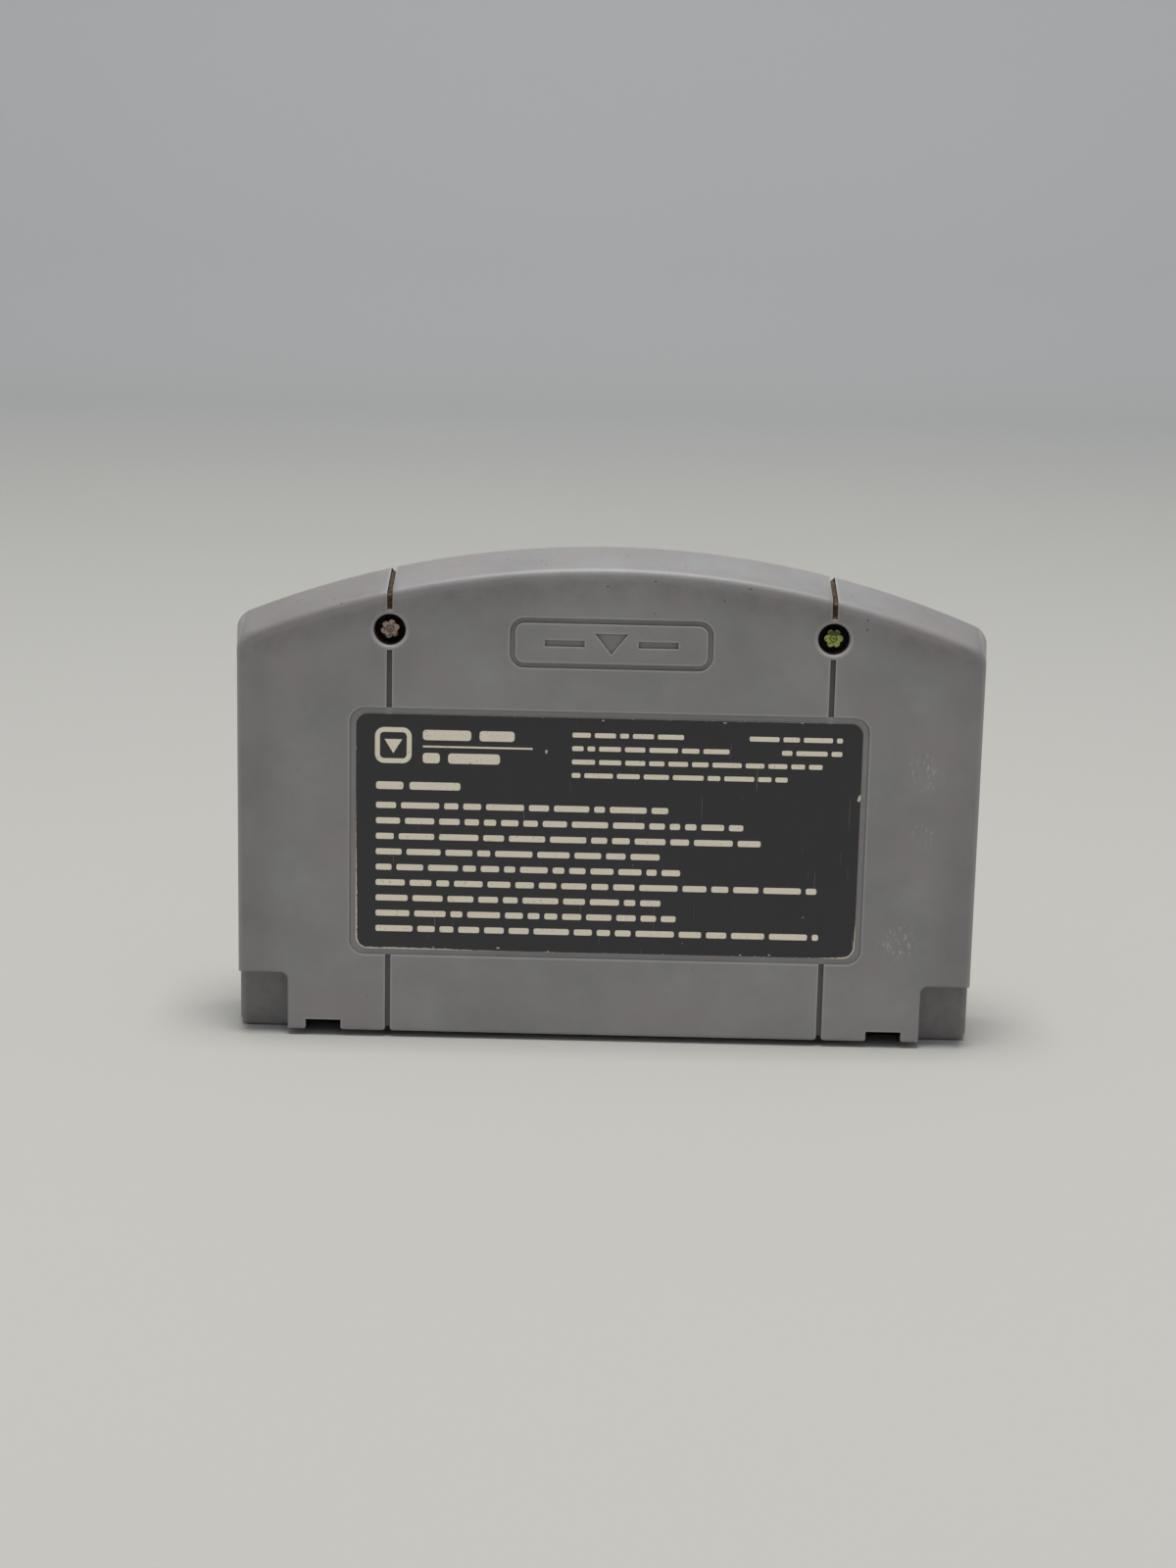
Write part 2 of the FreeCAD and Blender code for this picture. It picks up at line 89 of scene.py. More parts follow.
# Side edge of the rear face, from the body's middle: half the width less the flare of the sides
SIDE_FLARE = 1.05
SIDE_EDGE = CAD_BOX[1][0] / MM - SIDE_FLARE

# Recessed lower corners: inner side from the body's middle, and top
RECESS_X = 49.2
RECESS_TOP = 10.0

# Foot notches: middle from the body's middle, half width with its wall, and the height of their roof
NOTCH_X = 43.65
NOTCH_REACH = 2.9
NOTCH_TOP = 2.65

# Height above the floor of the small wedge of shadow at the foot of each groove
GROOVE_FOOT = 1.75


def linear(text):
    """Linear RGBA of an sRGB hex colour."""
    parts = [int(text[start:start + 2], 16) / 255 for start in (1, 3, 5)]
    return tuple(p / 12.92 if p <= 0.04045 else ((p + 0.055) / 1.055) ** 2.4 for p in parts) + (1.0,)


def colour(name, description, text):
    """Colour setting with an sRGB hex default."""
    return FloatVectorProperty(
        name=name, description=description, subtype="COLOR", size=4, min=0, max=1, default=linear(text))


def length(name, description, millimetres):
    """Length setting with a default in millimetres."""
    return FloatProperty(
        name=name, description=description, subtype="DISTANCE", unit="LENGTH", min=0,
        default=millimetres * MM)


class CartridgeShellSettings(bpy.types.PropertyGroup):
    """Moulded shells."""
    plastic: colour("Plastic", "Grey of the moulded shells", "#929191")
    tinge: colour("Tinge", "Faint warm patches where the plastic has aged", "#978d8a")
    # This colour is also painted shade: in the foot notches, at the grooves' feet, and with dirt in the
    # screw bores.
    soot_and_shade: colour("Bore dirt", "Old dirt in the screw bores and foot notches", "#231b17")
    silt: colour("Groove dirt", "Brown dirt in the upper ends of the grooves", "#6b573f")
    # This colour is also painted shade: in corners and recesses, in the grooves and towards the arched top's
    # ends.
    grime_and_shade: colour("Grime", "Thin film of dirt where hands and wiping leave it", "#40352c")
    dust: colour("Specks", "Small dark specks stuck to the plastic", "#45403d")
    # This colour is also a painted highlight along edges, round the bores' rims and down the sides.
    scuff_and_highlight: colour("Scuffs", "Rubbed places on the plastic", "#b4b2af")
    grain: length("Grain", "Width of one grain of the moulded texture", 0.3)
    speck_gap: length("Speck gap", "Mean distance between specks", 3.6)
    groove_width: length("Groove width", "Width of the two grooves", 0.8)
    bore_width: length("Bore width", "Diameter of the screw bores", 4.8)
    edge_softness: length("Edge softness", "Radius that light sees on every edge", 0.2)
    fold_softness: length("Fold softness", "Radius that light sees along the worn fold", 1.4)
    # This length is how far the painted edge highlight reaches in from every edge.
    highlight_reach: length("Edge wear", "How far wear reaches in from every edge", 0.7)


class CartridgeLabelSettings(bpy.types.PropertyGroup):
    """Printed labels."""
    film: colour("Film", "Dark ground of the rear label", "#302e30")
    ink: colour("Ink", "Pale print of the rear label", "#fff5e0")
    paper: colour("Paper", "Bare paper where the film has worn off", "#d9d0bd")
    front_ground: colour("Front ground", "Ground of the front label", "#3f5a70")
    front_band: colour("Front band", "Broad band of the front label", "#c9a24a")
    front_pale: colour("Front pale field", "Pale field of the front label", "#d8d4c6")
    corner: length("Corner", "Corner radius of the labels", 1.9)
    row_pitch: length("Row pitch", "Distance between rows of print", 2.45)
    row_height: length("Row height", "Height of a row of print", 0.95)
    word_gap: length("Word gap", "Gap between the bars of a row of print", 0.75)
    ink_thickness: length("Ink thickness", "How far the ink stands off the film", 0.02)


class CartridgeMetalSettings(bpy.types.PropertyGroup):
    """Screws, shields and contacts."""
    nickel: colour("Nickel", "Dull nickel of the left screw", "#b9a194")
    verdigris: colour("Verdigris", "Green bloom on the right screw", "#b3c568")
    # This colour is also painted shade on the screws, deeper in the bore.
    rust_and_shade: colour("Rust", "Brown dirt on the screws", "#2c201a")
    gold: colour("Gold", "Plating of the contacts", "#d8b25a")
    tin: colour("Tin", "Plating of leads and shields", "#c4c4c0")


class CartridgeBoardSettings(bpy.types.PropertyGroup):
    """Circuit board and its components."""
    mask: colour("Solder mask", "Lacquer of the board", "#1f5a35")
    track: colour("Tracks", "Copper tracks seen through the lacquer", "#2f7a48")
    resin: colour("Resin", "Moulded bodies of the chips", "#232324")
    ceramic: colour("Ceramic", "Bodies of the capacitors", "#a3825c")
    glaze: colour("Glaze", "Bodies of the resistors", "#17181b")


class CartridgeStageSettings(bpy.types.PropertyGroup):
    """Floor, light and camera."""
    floor: colour("Floor", "Pale floor", "#c0bfba")
    wall: colour("Wall", "Pale backdrop", "#c3c5c5")
    lamp: colour("Lamp", "Colour of the soft lamp", "#fffdfa")
    sky: colour("Sky", "Colour of the light from all round", "#f4f8ff")
    wall_distance: length("Wall distance", "Distance from the object to the backdrop", 1250.0)
    sweep: length("Sweep", "Radius where the floor turns up into the backdrop", 300.0)
    lamp_height: length("Lamp height", "Height of the soft lamp above the floor", 1300.0)
    lamp_forward: length("Lamp forward", "How far the soft lamp stands before the object", 90.0)
    lamp_size: length("Lamp size", "Side of the soft lamp", 500.0)
    lamp_power: FloatProperty(
        name="Lamp power", description="Power of the soft lamp", unit="POWER", default=12.9)
    horizon_level: FloatProperty(
        name="Horizon level", description="Light from low down", min=0, default=0.16)
    zenith_level: FloatProperty(
        name="Zenith level", description="Light from straight above", min=0, default=0.55)


class CartridgeSettings(bpy.types.PropertyGroup):
    """Everything that a user would change."""
    shell: PointerProperty(type=CartridgeShellSettings)
    label: PointerProperty(type=CartridgeLabelSettings)
    metal: PointerProperty(type=CartridgeMetalSettings)
    board: PointerProperty(type=CartridgeBoardSettings)
    stage: PointerProperty(type=CartridgeStageSettings)


def add(tree, kind, inputs, operation=None, **settings):
    """Adds a shader node with its settings, and links or sets its inputs, in order or by name.

    A node given as an input stands for its first usable output.
    """
    node = tree.nodes.new("ShaderNode" + kind)
    if operation:
        node.operation = operation
    for name, value in settings.items():
        setattr(node, name, value)
    usable = [socket for socket in node.inputs if not socket.is_unavailable]
    for key, value in inputs.items() if isinstance(inputs, dict) else enumerate(inputs):
        socket = node.inputs[key] if isinstance(key, str) else usable[key]
        if isinstance(value, bpy.types.Node):
            value = next(output for output in value.outputs if not output.is_unavailable)
        if isinstance(value, bpy.types.NodeSocket):
            tree.links.new(value, socket)
        else:
            socket.default_value = value
    return node


def new_material(name):
    """Empty material, the function that adds a node to it, and its place in millimetres."""
    material = bpy.data.materials.new(name)
    material.use_nodes = True
    material.node_tree.nodes.clear()
    node = partial(add, material.node_tree)
    place = node("TexCoord", {}).outputs["Object"]
    return material, node, node("VectorMath", [place, 1 / MM], "SCALE")


def finish_material(material, inputs):
    """Ends the material with its shader. Its inputs are linked where they vary, and set where they don't."""
    tree = material.node_tree
    add(tree, "OutputMaterial", [add(tree, "BsdfPrincipled", inputs)])
    return material


def screw_place(node, axes):
    """Place about the nearer case screw's axis in millimetres: across, above, and the length of both."""
    side = node("Math", [axes[0]], "ABSOLUTE")
    across = node("Math", [side, SCREW_X], "SUBTRACT")
    across = node("Math", [across], "ABSOLUTE")
    rise = node("Math", [axes[2], SCREW_Z], "SUBTRACT")
    return across, rise, node("VectorMath", [node("CombineXYZ", [across, rise])], "LENGTH")


def shell_place(node, place, axes):
    """Where a point of the shells lies, in millimetres.

    Depth goes in from the nearer face, side out from the body's middle and height up from the floor.
    Across, rise and radius are about the nearer screw's axis. Below_fold is the radius of the fold's arc
    less the distance from the arc's centre. Behind is 1 on the rear half.
    """
    middle = (FRONT_FACE + REAR_FACE) / 2
    behind = node("Math", [axes[1], middle], "LESS_THAN")
    from_middle = node("Math", [axes[1], middle], "SUBTRACT")
    from_middle = node("Math", [from_middle], "ABSOLUTE")
    depth = node("Math", [(FRONT_FACE - REAR_FACE) / 2, from_middle], "SUBTRACT")
    side = node("Math", [axes[0]], "ABSOLUTE")
    across, rise, radius = screw_place(node, axes)
    arch = node("VectorMath", [place, (0, 0, ARCH_CENTRE)], "SUBTRACT")
    arch = node("VectorMath", [arch, (1, 0, 1)], "MULTIPLY")
    from_centre = node("VectorMath", [arch], "LENGTH")
    below_fold = node("Math", [FOLD_RADIUS, from_centre], "SUBTRACT")
    from_fold = node("Math", [below_fold], "ABSOLUTE")
    return SimpleNamespace(
        behind=behind, depth=depth, side=side, height=axes[2], across=across, rise=rise, radius=radius,
        below_fold=below_fold, from_fold=from_fold)


# Dirt and painted shade in the grooves: depths and rises between which they set in, in millimetres, and for
# the painted shade the shares of the half width, and the strengths there. The margin takes the walls in.
GROOVE_SUNK = (0.3, 0.6)
GROOVE_OVER_FOLD = (3.4, 4.6)
GROOVE_SILT = (-6.0, 3.0)
GROOVE_SHADE_FROM = 0.5
GROOVE_SHADE_TO = 0.9
GROOVE_PAINTED_SHADES = (0.42, 0.62)
GROOVE_MARGIN = 1.03


def groove_dirt_and_shade(node, at, settings):
    """Masks of the grooves: brown silt in their upper ends, and painted shade that deepens to the walls.

    A groove is within its width, and either below the face or over the fold.
    """
    half = settings.groove_width / MM / 2
    within = node("Math", [at.across, half * GROOVE_MARGIN], "LESS_THAN")
    sunk = node("MapRange", [at.depth, *GROOVE_SUNK], **SMOOTH)
    over_fold = node("MapRange", [at.rise, *GROOVE_OVER_FOLD], **SMOOTH)
    groove = node("Math", [sunk, over_fold], "MAXIMUM")
    groove = node("Math", [groove, within], "MULTIPLY")
    silt = node("MapRange", [at.rise, *GROOVE_SILT], **SMOOTH)
    silt = node("Math", [silt, groove], "MULTIPLY")
    # Painted shade that deepens towards the groove's walls
    shade = node("MapRange", [at.across, half * GROOVE_SHADE_FROM, half * GROOVE_SHADE_TO, *GROOVE_PAINTED_SHADES])
    shade = node("Math", [shade, groove], "MULTIPLY")
    return silt, shade


# Depths between which old dirt and painted shade set in, in millimetres. The margin takes the bore's wall
# in.
BORE_SUNK = (0.25, 0.9)
BORE_MARGIN = 1.02
NOTCH_SUNK = (0.5, 1.2)


def bore_dirt_and_shade(node, at, settings):
    """Mask of dirt and painted shade in the screw bores: within their radius and below the face."""
    half = settings.bore_width / MM / 2
    within = node("Math", [at.radius, half * BORE_MARGIN], "LESS_THAN")
    sunk = node("MapRange", [at.depth, *BORE_SUNK], **SMOOTH)
    return node("Math", [sunk, within], "MULTIPLY")


def foot_shade(node, at):
    """Mask of painted shade in the rear's foot notches, and of the small wedges of painted shadow at the
    feet of the grooves.

    In a wedge the distance from the groove's middle and the height add up to less than the wedge's height.
    """
    from_notch = node("Math", [at.side, NOTCH_X], "SUBTRACT")
    from_notch = node("Math", [from_notch], "ABSOLUTE")
    notch = node("Math", [from_notch, NOTCH_REACH], "LESS_THAN")
    low = node("Math", [at.height, NOTCH_TOP], "LESS_THAN")
    sunk = node("MapRange", [at.depth, *NOTCH_SUNK], **SMOOTH)
    for other in (low, sunk):
        notch = node("Math", [notch, other], "MULTIPLY")
    wedge = node("Math", [at.across, at.height], "ADD")
    wedge = node("Math", [wedge, GROOVE_FOOT], "LESS_THAN")
    foot = node("Math", [notch, wedge], "MAXIMUM")
    return node("Math", [foot, at.behind], "MULTIPLY")


# Painted shade with grime in the recesses: size of its patches and depths between which it sets in, in
# millimetres
SMUDGE_SIZE = 2.2
RECESS_SUNK = (1.5, 3.5)


def corner_shade_and_grime(node, place, at, open_sky):
    """Mask of painted shade where a point sees little sky, and of painted shade with grime in patches in the
    recesses.
    """
    outer = node("Math", [at.side, RECESS_X], "GREATER_THAN")
    lower = node("Math", [at.height, RECESS_TOP], "LESS_THAN")
    sunk = node("MapRange", [at.depth, *RECESS_SUNK], **SMOOTH)
    smudge = node("TexNoise", {"Vector": place, "Scale": 1 / SMUDGE_SIZE, "Detail": 5.0, "Roughness": 0.65})
    smudge = node("MapRange", [smudge, 0.35, 0.75, 0.14, 0.32], **SMOOTH)
    for other in (outer, lower, sunk):
        smudge = node("Math", [smudge, other], "MULTIPLY")
    corner = node("MapRange", [open_sky, 0.9, 0.3, 0.0, 0.35], **SMOOTH)
    return node("Math", [corner, smudge], "MAXIMUM")


# Painted highlights on edges: cosines between which an edge shows, then for the bores' rims the reach past
# the bore, the depth, and the rise with its strengths, and for the sides the place with its strengths, in
# millimetres
EDGE_COSINES = (0.998, 0.88)
EDGE_SAMPLES = 8
RIM_OUTSIDE = 0.75
RIM_INSIDE = 0.3
RIM_SUNK = (0.45, 0.2)
RIM_RISE = (1.5, -2.0, 0.45, 1.0)
SIDE_HIGHLIGHT = (SIDE_EDGE - 0.8, SIDE_EDGE, 0.0, 0.5)
HIGHLIGHT_STRENGTH = 0.75


def painted_edge_highlights(node, at, open_sky, settings):
    """Mask of painted highlights on edges: out in the open, round the bores and down the sides.

    An edge is where a normal that is rounded over the highlight's reach turns away from the true one.
    """
    true_normal = node("NewGeometry", {}).outputs["True Normal"]
    rounded = node("Bevel", {"Radius": settings.highlight_reach}, samples=EDGE_SAMPLES)
    cosine = node("VectorMath", [rounded, true_normal], "DOT_PRODUCT")
    # The painted edge highlight, kept to edges out in the open
    polish = node("MapRange", [cosine, *EDGE_COSINES], **SMOOTH)
    in_open = node("MapRange", [open_sky, 0.75, 0.98], **SMOOTH)
    polish = node("Math", [polish, in_open], "MULTIPLY")
    # Painted highlight round the bores' rims, strongest on their lower lips, and down the sides
    half_bore = settings.bore_width / MM / 2
    rim = node("MapRange", [at.radius, half_bore + RIM_OUTSIDE, half_bore + RIM_INSIDE], **SMOOTH)
    shallow = node("MapRange", [at.depth, *RIM_SUNK], **SMOOTH)
    lower_lip = node("MapRange", [at.rise, *RIM_RISE], **SMOOTH)
    for other in (shallow, at.behind, lower_lip):
        rim = node("Math", [rim, other], "MULTIPLY")
    at_side = node("MapRange", [at.side, *SIDE_HIGHLIGHT], **SMOOTH)
    for other in (rim, at_side):
        polish = node("Math", [polish, other], "MAXIMUM")
    return node("Math", [polish, HIGHLIGHT_STRENGTH], "MULTIPLY")


# Sizes of the plastic's patterns, in millimetres
CLOUD_SIZE = 14
BLOTCH_SIZE = 2.5
TINGE_SIZE = 9


def plastic_colour(node, place, blotches, grain, settings):
    """Grey of the plastic, with warm patches.

    Broad clouds, blotches and grain are added up, and run from a fifth darker to a fifth lighter.
    """
    clouds = node("TexNoise", {"Vector": place, "Scale": 1 / CLOUD_SIZE, "Detail": 6.0, "Roughness": 0.6})
    clouds = node("MapRange", [clouds, 0.3, 0.7])
    shade = node("Math", [blotches, 0.4, clouds], "MULTIPLY_ADD")
    shade = node("Math", [grain, 0.5, shade], "MULTIPLY_ADD")
    shade = node("MapRange", [shade, 0.2, 1.7])
    darker = node("HueSaturation", {"Value": 0.8, "Color": settings.plastic})
    lighter = node("HueSaturation", {"Value": 1.2, "Color": settings.plastic})
    base = node("Mix", [shade, darker, lighter], **COLOURS)
    tinge = node("TexNoise", {"Vector": place, "Scale": 1 / TINGE_SIZE, "Detail": 3.0})
    tinge = node("MapRange", [tinge, 0.38, 0.65, 0.0, 0.4], **SMOOTH)
    return node("Mix", [tinge, base, settings.tinge], **COLOURS)


# Specks: how far y moves the pattern on along x, distances below the fold between which they lie closer, in
# millimetres, how much a lot gains there, the lots that bear a speck, and radii and blur as shares of a gap
SPECK_SLANT = 0.7
SPECK_FOLD = (6.0, 0.5)
SPECK_GAIN = 0.22
SPECK_LOTS = (0.9, 1.05)
SPECK_RADII = (0.0, 0.055)
SPECK_BLUR = 0.02
SPECK_STRENGTH = 0.75


def stuck_specks(node, axes, at, settings):
    """Mask of specks on the skin: each cell draws a lot, and a high lot gives it a speck.

    The cells are set out in x and z, and each is moved on by y to reach round the edges.
    """
    aslant = node("Math", [axes[1], SPECK_SLANT, axes[0]], "MULTIPLY_ADD")
    upward = node("Math", [axes[1], axes[2]], "ADD")
    skin = node("CombineXYZ", [aslant, upward])
    cells = node("TexVoronoi", {"Vector": skin, "Scale": MM / settings.speck_gap}, voronoi_dimensions="2D")
    lot = node("SeparateColor", [cells.outputs["Color"]])
    near_fold = node("MapRange", [at.below_fold, *SPECK_FOLD], **SMOOTH)
    lot = node("Math", [near_fold, SPECK_GAIN, lot], "MULTIPLY_ADD")
    radius = node("MapRange", [lot, *SPECK_LOTS, *SPECK_RADII])
    inside = node("Math", [radius, cells.outputs["Distance"]], "SUBTRACT")
    return node("MapRange", [inside, 0.0, SPECK_BLUR, 0.0, SPECK_STRENGTH], **SMOOTH)


# Dirt from hands, and painted shade towards the top's ends: distances between which they set in, in
# millimetres, with the strengths there
HANDLED_BELOW_FOLD = (6.0, 1.2)
HANDLED_PAST_FOLD = (0.0, 1.0)
TOP_ABOVE_FOLD = (0.5, -0.8)
TOP_LEFT_SHADE = (-20.0, -52.0, 0.0, 0.2)
TOP_RIGHT_SHADE = (30.0, 55.0, 0.0, 0.1)
SIDE_DIRT = (SIDE_EDGE - 8.0, SIDE_EDGE - 2.0, 0.0, 0.15)


def handling_dirt_and_shade(node, axes, at, blotches):
    """Mask of dirt from hands below the fold in patches and at the sides, and of painted shade towards the
    arched top's ends.
    """
    handled = node("MapRange", [at.below_fold, *HANDLED_BELOW_FOLD], **SMOOTH)
    past_fold = node("MapRange", [at.below_fold, *HANDLED_PAST_FOLD], **SMOOTH)
    patchy = node("MapRange", [blotches, 0.3, 0.7, 0.06, 0.3])
    for other in (past_fold, patchy):
        handled = node("Math", [handled, other], "MULTIPLY")
    # Painted shade: the arched top grows darker towards its ends, more on the left
    left_end = node("MapRange", [axes[0], *TOP_LEFT_SHADE], **SMOOTH)
    right_end = node("MapRange", [axes[0], *TOP_RIGHT_SHADE], **SMOOTH)
    ends = node("Math", [left_end, right_end], "ADD")
    above_fold = node("MapRange", [at.below_fold, *TOP_ABOVE_FOLD], **SMOOTH)
    ends = node("Math", [ends, above_fold], "MULTIPLY")
    beside = node("MapRange", [at.side, *SIDE_DIRT], **SMOOTH)
    for other in (ends, beside):
        handled = node("Math", [handled, other], "MAXIMUM")
    return handled


# Scuffs on the rear face: x, z and reach in millimetres, and the size, turn and stretch of their strokes
SCUFFS = ((45.2, 17.3, 4.0), (48.2, 34.2, 2.6), (48.3, 44.0, 4.2))
STROKE_SIZE = 0.9
STROKE_TURN = (0, 0.5, 0)
STROKE_STRETCH = (2.2, 1.0, 0.9)


def scuff_marks(node, place):
    """Mask of rubbed patches: slanting strokes of stretched noise, within reach of each patch's middle."""
    patches = 0.0
    for x, z, reach in SCUFFS:
        away = node("VectorMath", [place, (x, REAR_FACE, z)], "DISTANCE")
        patch = node("MapRange", [away, reach, reach / 3], **SMOOTH)
        patches = node("Math", [patch, patches], "MAXIMUM")
    strokes = node("Mapping", {"Vector": place, "Rotation": STROKE_TURN, "Scale": STROKE_STRETCH})
    strokes = node(
        "TexNoise", {"Vector": strokes, "Scale": 1 / STROKE_SIZE, "Detail": 3.0, "Roughness": 0.7})
    strokes = node("MapRange", [strokes, 0.56, 0.64, 0.0, 0.9], **SMOOTH)
    return node("Math", [patches, strokes], "MULTIPLY")


# Size of crumbs of caked dirt, reach of the painted shade in corners, relief of the grain, and distances
# from the fold between which its edge grows softer and glossier, in millimetres, with the roughness there
CRUMB_SIZE = 0.45
CORNER_REACH = 0.9
CORNER_SAMPLES = 6
GRAIN_RELIEF = 0.03
FOLD_SOFT = (3.0, 1.0)
FOLD_GLOSSY = (1.4, 0.2, 0.42, 0.24)


def moulded_abs(settings):
    """ABS, injection moulded in a spark-eroded tool.

    The eye sees an even grey with a fine dull grain and a soft highlight on the folds, dirt and painted
    shade in grooves and bores, painted shade in corners, recesses, foot notches and towards the top's ends,
    painted highlights on edges, a few stuck specks and pale rubbed patches.
    """
    material, node, place = new_material("moulded_abs")
    axes = node("SeparateXYZ", [place]).outputs
    at = shell_place(node, place, axes)

    # The moulded grain is really about a tenth of a millimetre across, too fine to show, so it is drawn
    # as coarse as the setting says
    grain = node(
        "TexNoise", {"Vector": place, "Scale": MM / settings.grain, "Detail": 3.0, "Roughness": 0.6})
    blotches = node(
        "TexNoise", {"Vector": place, "Scale": 1 / BLOTCH_SIZE, "Detail": 4.0, "Roughness": 0.6})
    crumbs = node("TexNoise", {"Vector": place, "Scale": 1 / CRUMB_SIZE, "Detail": 5.0, "Roughness": 0.7})
    crumbs = node("MapRange", [crumbs, 0.35, 0.62], **SMOOTH)
    caked_dirt_and_shade = node("Mix", [crumbs, settings.soot_and_shade, settings.silt], **COLOURS)
    # Ambient occlusion: it drives the painted shade in corners, and keeps the painted edge highlight out of
    # them
    open_sky = node("AmbientOcclusion", {"Distance": CORNER_REACH * MM}, samples=CORNER_SAMPLES)
    open_sky = open_sky.outputs["AO"]

    silted, painted_groove_shade = groove_dirt_and_shade(node, at, settings)
    # Dirt and painted shade in the screw bores
    dirt_and_shade_in_bores = bore_dirt_and_shade(node, at, settings)
    # Painted shade: the dark foot notches and the wedges of shadow at the grooves' feet
    foot = foot_shade(node, at)
    base = plastic_colour(node, place, blotches, grain, settings)
    # Among these, the edge mask is painted highlight; the corner, groove shade and foot masks are painted
    # shade; the bore and handling masks are dirt with painted shade
    for mask, tint in (
        (stuck_specks(node, axes, at, settings), settings.dust),
        (handling_dirt_and_shade(node, axes, at, blotches), settings.grime_and_shade),
        (scuff_marks(node, place), settings.scuff_and_highlight),
        (painted_edge_highlights(node, at, open_sky, settings), settings.scuff_and_highlight),
        (corner_shade_and_grime(node, place, at, open_sky), settings.grime_and_shade),
        (painted_groove_shade, settings.grime_and_shade),
        (silted, caked_dirt_and_shade),
        (foot, settings.soot_and_shade),
        (dirt_and_shade_in_bores, caked_dirt_and_shade),
    ):
        base = node("Mix", [mask, base, tint], **COLOURS)

    softness = (settings.edge_softness, settings.fold_softness)
    softness = node("MapRange", [at.from_fold, *FOLD_SOFT, *softness], **SMOOTH)
    softened = node("Bevel", {"Radius": softness}, samples=EDGE_SAMPLES)
    bump = node(
        "Bump", {"Height": grain, "Strength": 0.3, "Distance": GRAIN_RELIEF * MM, "Normal": softened})
    rough = node("MapRange", [at.from_fold, *FOLD_GLOSSY], **SMOOTH)
    rough = node("Math", [grain, 0.16, rough], "MULTIPLY_ADD")
    # The dirt and painted shade of the bores and notches also make the surface rougher
    soot_and_shade = node("Math", [dirt_and_shade_in_bores, foot], "MAXIMUM")
    rough = node("Math", [soot_and_shade, 0.4, rough], "MULTIPLY_ADD")
    return finish_material(material, {"Base Color": base, "Roughness": rough, "Normal": bump, "IOR": 1.53})


def edge_distance(node, axes, box, corner):
    """Distance in from the edge of a rounded rectangle in x and z: positive inside, negative outside.

    With q the distance from the middle less the half size and plus the corner radius, it is the radius
    less the length of the part of q above zero, less the larger of q where both are below zero.
    """
    over = []
    for axis in (0, 2):
        low, high = box[0][axis], box[1][axis]
        offset = node("Math", [axes[axis], (low + high) / 2], "SUBTRACT")
        away = node("Math", [offset], "ABSOLUTE")
        over.append(node("Math", [away, (high - low) / 2 - corner], "SUBTRACT"))
    outside = [node("Math", [value, 0.0], "MAXIMUM") for value in over]
    reach = node("VectorMath", [node("CombineXYZ", outside)], "LENGTH")
    inside = node("Math", [node("Math", over, "MAXIMUM"), 0.0], "MINIMUM")
    signed = node("Math", [reach, inside], "ADD")
    return node("Math", [corner, signed], "SUBTRACT")


# Wear of the rear label, in millimetres: sizes of its patterns, reaches of the thin lower corners, widths of
# the bare edge where it is nicked and where it is broken, and its least width
WEAR_PATCH_SIZE = 6.25
NICK_SIZE = 0.77
THIN_LOW_LEFT = (26.0, 4.0)
THIN_LOW_RIGHT = (7.0, 1.0)
NICKED_WIDTHS = (0.0, 0.55)
BROKEN_WIDTHS = (0.04, 0.24)
BARE_WIDTH = 0.015


def worn_edge(node, place, axes, settings):
    """Mask of bare paper along the rear label's edge: where the distance in is less than a ragged width.

    The width is the least one, plus a broken one near the lower corners, plus nicks in broad patches.
    """
    edge = edge_distance(node, axes, REAR_LABEL, settings.corner / MM)
    broad = node("TexNoise", {"Vector": place, "Scale": 1 / WEAR_PATCH_SIZE, "Detail": 2.0})
    broad = node("MapRange", [broad, 0.42, 0.66], **SMOOTH)
    fine = node("TexNoise", {"Vector": place, "Scale": 1 / NICK_SIZE, "Detail": 6.0, "Roughness": 0.75})
    nicked = node("MapRange", [fine, 0.55, 0.74, *NICKED_WIDTHS], **SMOOTH)
    broken = node("MapRange", [fine, 0.36, 0.52, *BROKEN_WIDTHS], **SMOOTH)
    thin = 0.0
    for x, reach in ((LABEL_LEFT, THIN_LOW_LEFT), (LABEL_RIGHT, THIN_LOW_RIGHT)):
        away = node("VectorMath", [place, (x, LABEL_FACE, LABEL_BOTTOM)], "DISTANCE")
        near = node("MapRange", [away, *reach], **SMOOTH)
        thin = node("Math", [near, thin], "MAXIMUM")
    width = node("Math", [thin, broken, BARE_WIDTH], "MULTIPLY_ADD")
    width = node("Math", [nicked, broad, width], "MULTIPLY_ADD")
    return node("Math", [edge, width], "LESS_THAN")


# Small worn spots of the rear label: x, z, width and height in millimetres, and tilt
WORN_SPOTS = (
    (-9.6, LABEL_TOP - 5.4, 0.28, 0.75, 0.12), (LABEL_RIGHT - 0.2, LABEL_TOP - 11.7, 0.6, 1.25, 0.3),
    (-16.5, LABEL_BOTTOM + 0.5, 0.5, 0.22, 0.0), (21.0, LABEL_BOTTOM + 0.25, 0.45, 0.2, 0.0),
    (25.5, LABEL_BOTTOM + 0.35, 0.35, 0.2, 0.0), (30.5, LABEL_BOTTOM + 6.5, 0.25, 0.2, 0.5),
    (12.0, LABEL_BOTTOM + 1.9, 0.14, 0.12, 0.0), (4.0, LABEL_TOP - 23.0, 0.14, 0.12, 0.0),
    (-1.0, LABEL_TOP - 0.35, 0.4, 0.16, 0.0), (17.5, LABEL_TOP - 0.3, 0.6, 0.15, 0.0),
)
SPOT_GRIT = 0.33


